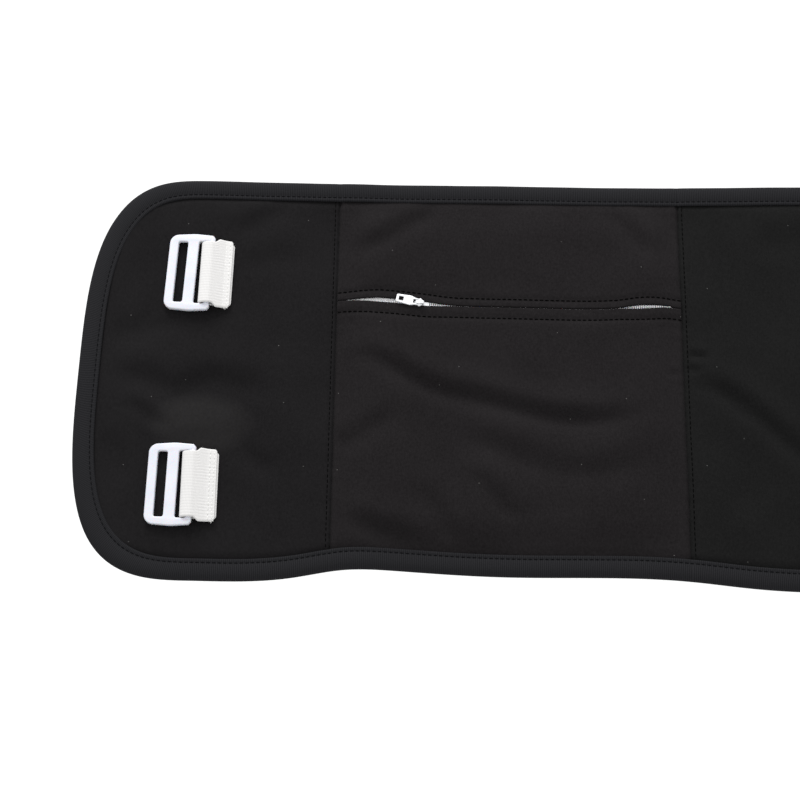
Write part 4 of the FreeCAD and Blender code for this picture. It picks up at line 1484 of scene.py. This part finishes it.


def strap_piece(level):
    """Strap sewn to the right end panel: anchor, fold, and a free tail that droops to the surface below."""
    tip = extent("strap_tail_" + level)[1][0]
    anchor_low, anchor_high = extent("strap_anchor_" + level)
    hinge = pivot("strap_lift_" + level)
    thick = 1.5
    y = (anchor_low[1] + anchor_high[1]) / 2
    lying = anchor_low[2] + thick / 2
    over = BINDING_TOP + 0.3 + thick / 2
    floor = thick / 2 + 0.05
    edge = BELT_END
    line = [(anchor_low[0], lying), (hinge[0] - 8, lying), (hinge[0] + 6, lying + 0.25),
            (edge - 34, lying + 0.35), (edge - 17, over - 0.2), (edge - 8, over + 0.1),
            (edge, over - 0.25), (edge + 7, over - 1.8),
            (edge + 15, over - 4.0), (edge + 25, floor + 0.5), (edge + 36, floor), (edge + 60, floor),
            (tip - 40, floor), (tip, floor)]
    x = np.linspace(line[0][0], line[-1][0], 260)
    route = even(np.stack([x, np.maximum(curve_through(line, x), floor)], -1), 2.0)
    strap = ribbed_strip("strap_woven_" + level, route, WEBBING_HALF + 0.1, thick)
    placed(strap, Matrix.Translation((0, y * MM, 0)))
    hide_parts("strap_anchor_" + level, "strap_tail_" + level)
    bend(strap, "end_right", "strap_" + level, "strap_lift_" + level, -STRAP_BEND)
    turned = even([(tip, floor), (tip + 0.4, floor + thick * 0.55), (tip - 0.2, floor + thick),
                   (tip - 12, floor + thick), (tip - 24, floor + thick)], 1.2)
    hem = ribbed_strip("strap_tip_hem_" + level, turned, WEBBING_HALF - 0.1, thick * 0.95)
    placed(hem, Matrix.Translation((0, y * MM, 0)))
    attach(hem, "strap_" + level)
    z = floor + thick * 1.5 + 0.05
    rows = [[(tip - d, y + s, z) for s in np.linspace(-17, 17, 28)] for d in (4, 21)]
    tip_rows = stitched("strap_tip_stitches_" + level, rows, WHITE_THREAD, 2.8, 2.4, 0.26)
    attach(tip_rows, "strap_" + level)
    x0, x1 = anchor_low[0] + 3, hinge[0] - 7
    y0, y1 = y - 15.5, y + 15.5
    z = lying + thick / 2 + 0.06
    box = [[(x0, y0, z), (x1, y0, z)], [(x1, y0, z), (x1, y1, z)], [(x1, y1, z), (x0, y1, z)],
           [(x0, y1, z), (x0, y0, z)], [(x0, y0, z), (x1, y1, z)], [(x0, y1, z), (x1, y0, z)]]
    box_rows = stitched("strap_box_stitches_" + level, box, WHITE_THREAD, 2.8, 2.4, 0.26)
    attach(box_rows, "end_right")


def build_webbing():
    """Buckles with their loops at the left end and straps at the right."""
    for level in ("upper", "lower"):
        buckle_piece(level)
        loop_piece(level)
        strap_piece(level)


# ---------------------------------------------------------------- camera, floor and light

VIEW_ELEVATION = math.radians(72)
VIEW_DISTANCE = 0.924
VIEW_CENTRE = Vector((-0.2625, -0.0174, 0.0))
VIEW_ROLL = math.radians(0.95)
VIEW_LENS = 72.7


def build_camera():
    """Camera nearly overhead, in front of the belt's left half."""
    data = bpy.data.cameras.new("camera")
    data.lens = VIEW_LENS
    data.clip_start = 0.01
    camera = linked("camera", data)
    back = Vector((0, -math.cos(VIEW_ELEVATION), math.sin(VIEW_ELEVATION)))
    turn = (-back).to_track_quat("-Z", "Y").to_matrix().to_4x4()
    roll = Matrix.Rotation(VIEW_ROLL, 4, "Z")
    camera.matrix_world = Matrix.Translation(VIEW_CENTRE + back * VIEW_DISTANCE) @ turn @ roll
    bpy.context.scene.camera = camera


def area_light(name, place, target, size, power):
    """Round soft light at a place, turned to its target."""
    data = bpy.data.lights.new(name, "AREA")
    data.shape = "DISK"
    data.size = size
    data.energy = power
    light = linked(name, data)
    light.location = place
    light.rotation_euler = (Vector(target) - Vector(place)).to_track_quat("-Z", "Y").to_euler()


FLOOR_LEVEL = -0.62       # metres; the panels hang below the table height when they are folded down


def build_floor():
    """Pale paper sheet, thin enough to let the studio's white through."""
    corners = [(-6, -6), (6, -6), (6, 6), (-6, 6)]
    mesh = bpy.data.meshes.new("floor")
    mesh.from_pydata([(x, y, FLOOR_LEVEL) for x, y in corners], [], [(0, 1, 2, 3)])
    floor = linked("floor", mesh)
    material = bpy.data.materials.new("sweep_white_paper")
    material.use_nodes = True
    tree = material.node_tree
    tree.nodes.clear()
    where = add(tree, "ShaderNodeTexCoord").outputs["Object"]
    fibres = add(tree, "ShaderNodeTexNoise", {"Vector": where}, Scale=1 / (3 * MM), Detail=3.0)
    paper = add(tree, "ShaderNodeBsdfDiffuse",
                {"Color": ramp(tree, fibres.outputs["Fac"], [(0.3, "#f6f6f6"), (0.7, "#ffffff")])})
    clear = add(tree, "ShaderNodeBsdfTransparent")
    sheet = add(tree, "ShaderNodeMixShader", Fac=0.3)
    tree.links.new(clear.outputs["BSDF"], sheet.inputs[1])
    tree.links.new(paper.outputs["BSDF"], sheet.inputs[2])
    add(tree, "ShaderNodeOutputMaterial", {"Surface": sheet.outputs["Shader"]})
    mesh.materials.append(material)


def build_light():
    """White studio all round and one soft lamp behind the belt."""
    world = bpy.data.worlds.new("studio_white")
    bpy.context.scene.world = world
    world.use_nodes = True
    background = world.node_tree.nodes["Background"]
    background.inputs["Color"].default_value = (1, 1, 1, 1)
    background.inputs["Strength"].default_value = 1.0
    area_light("key_far", (-0.55, 1.5, 0.75), (-0.2, 0, 0), 1.0, 28)


bpy.context.scene.view_settings.view_transform = "Standard"
build_camera()
build_panels()
build_bindings()
build_topstitching()
build_pockets()
build_webbing()
build_floor()
build_light()

bpy.context.view_layer.update()
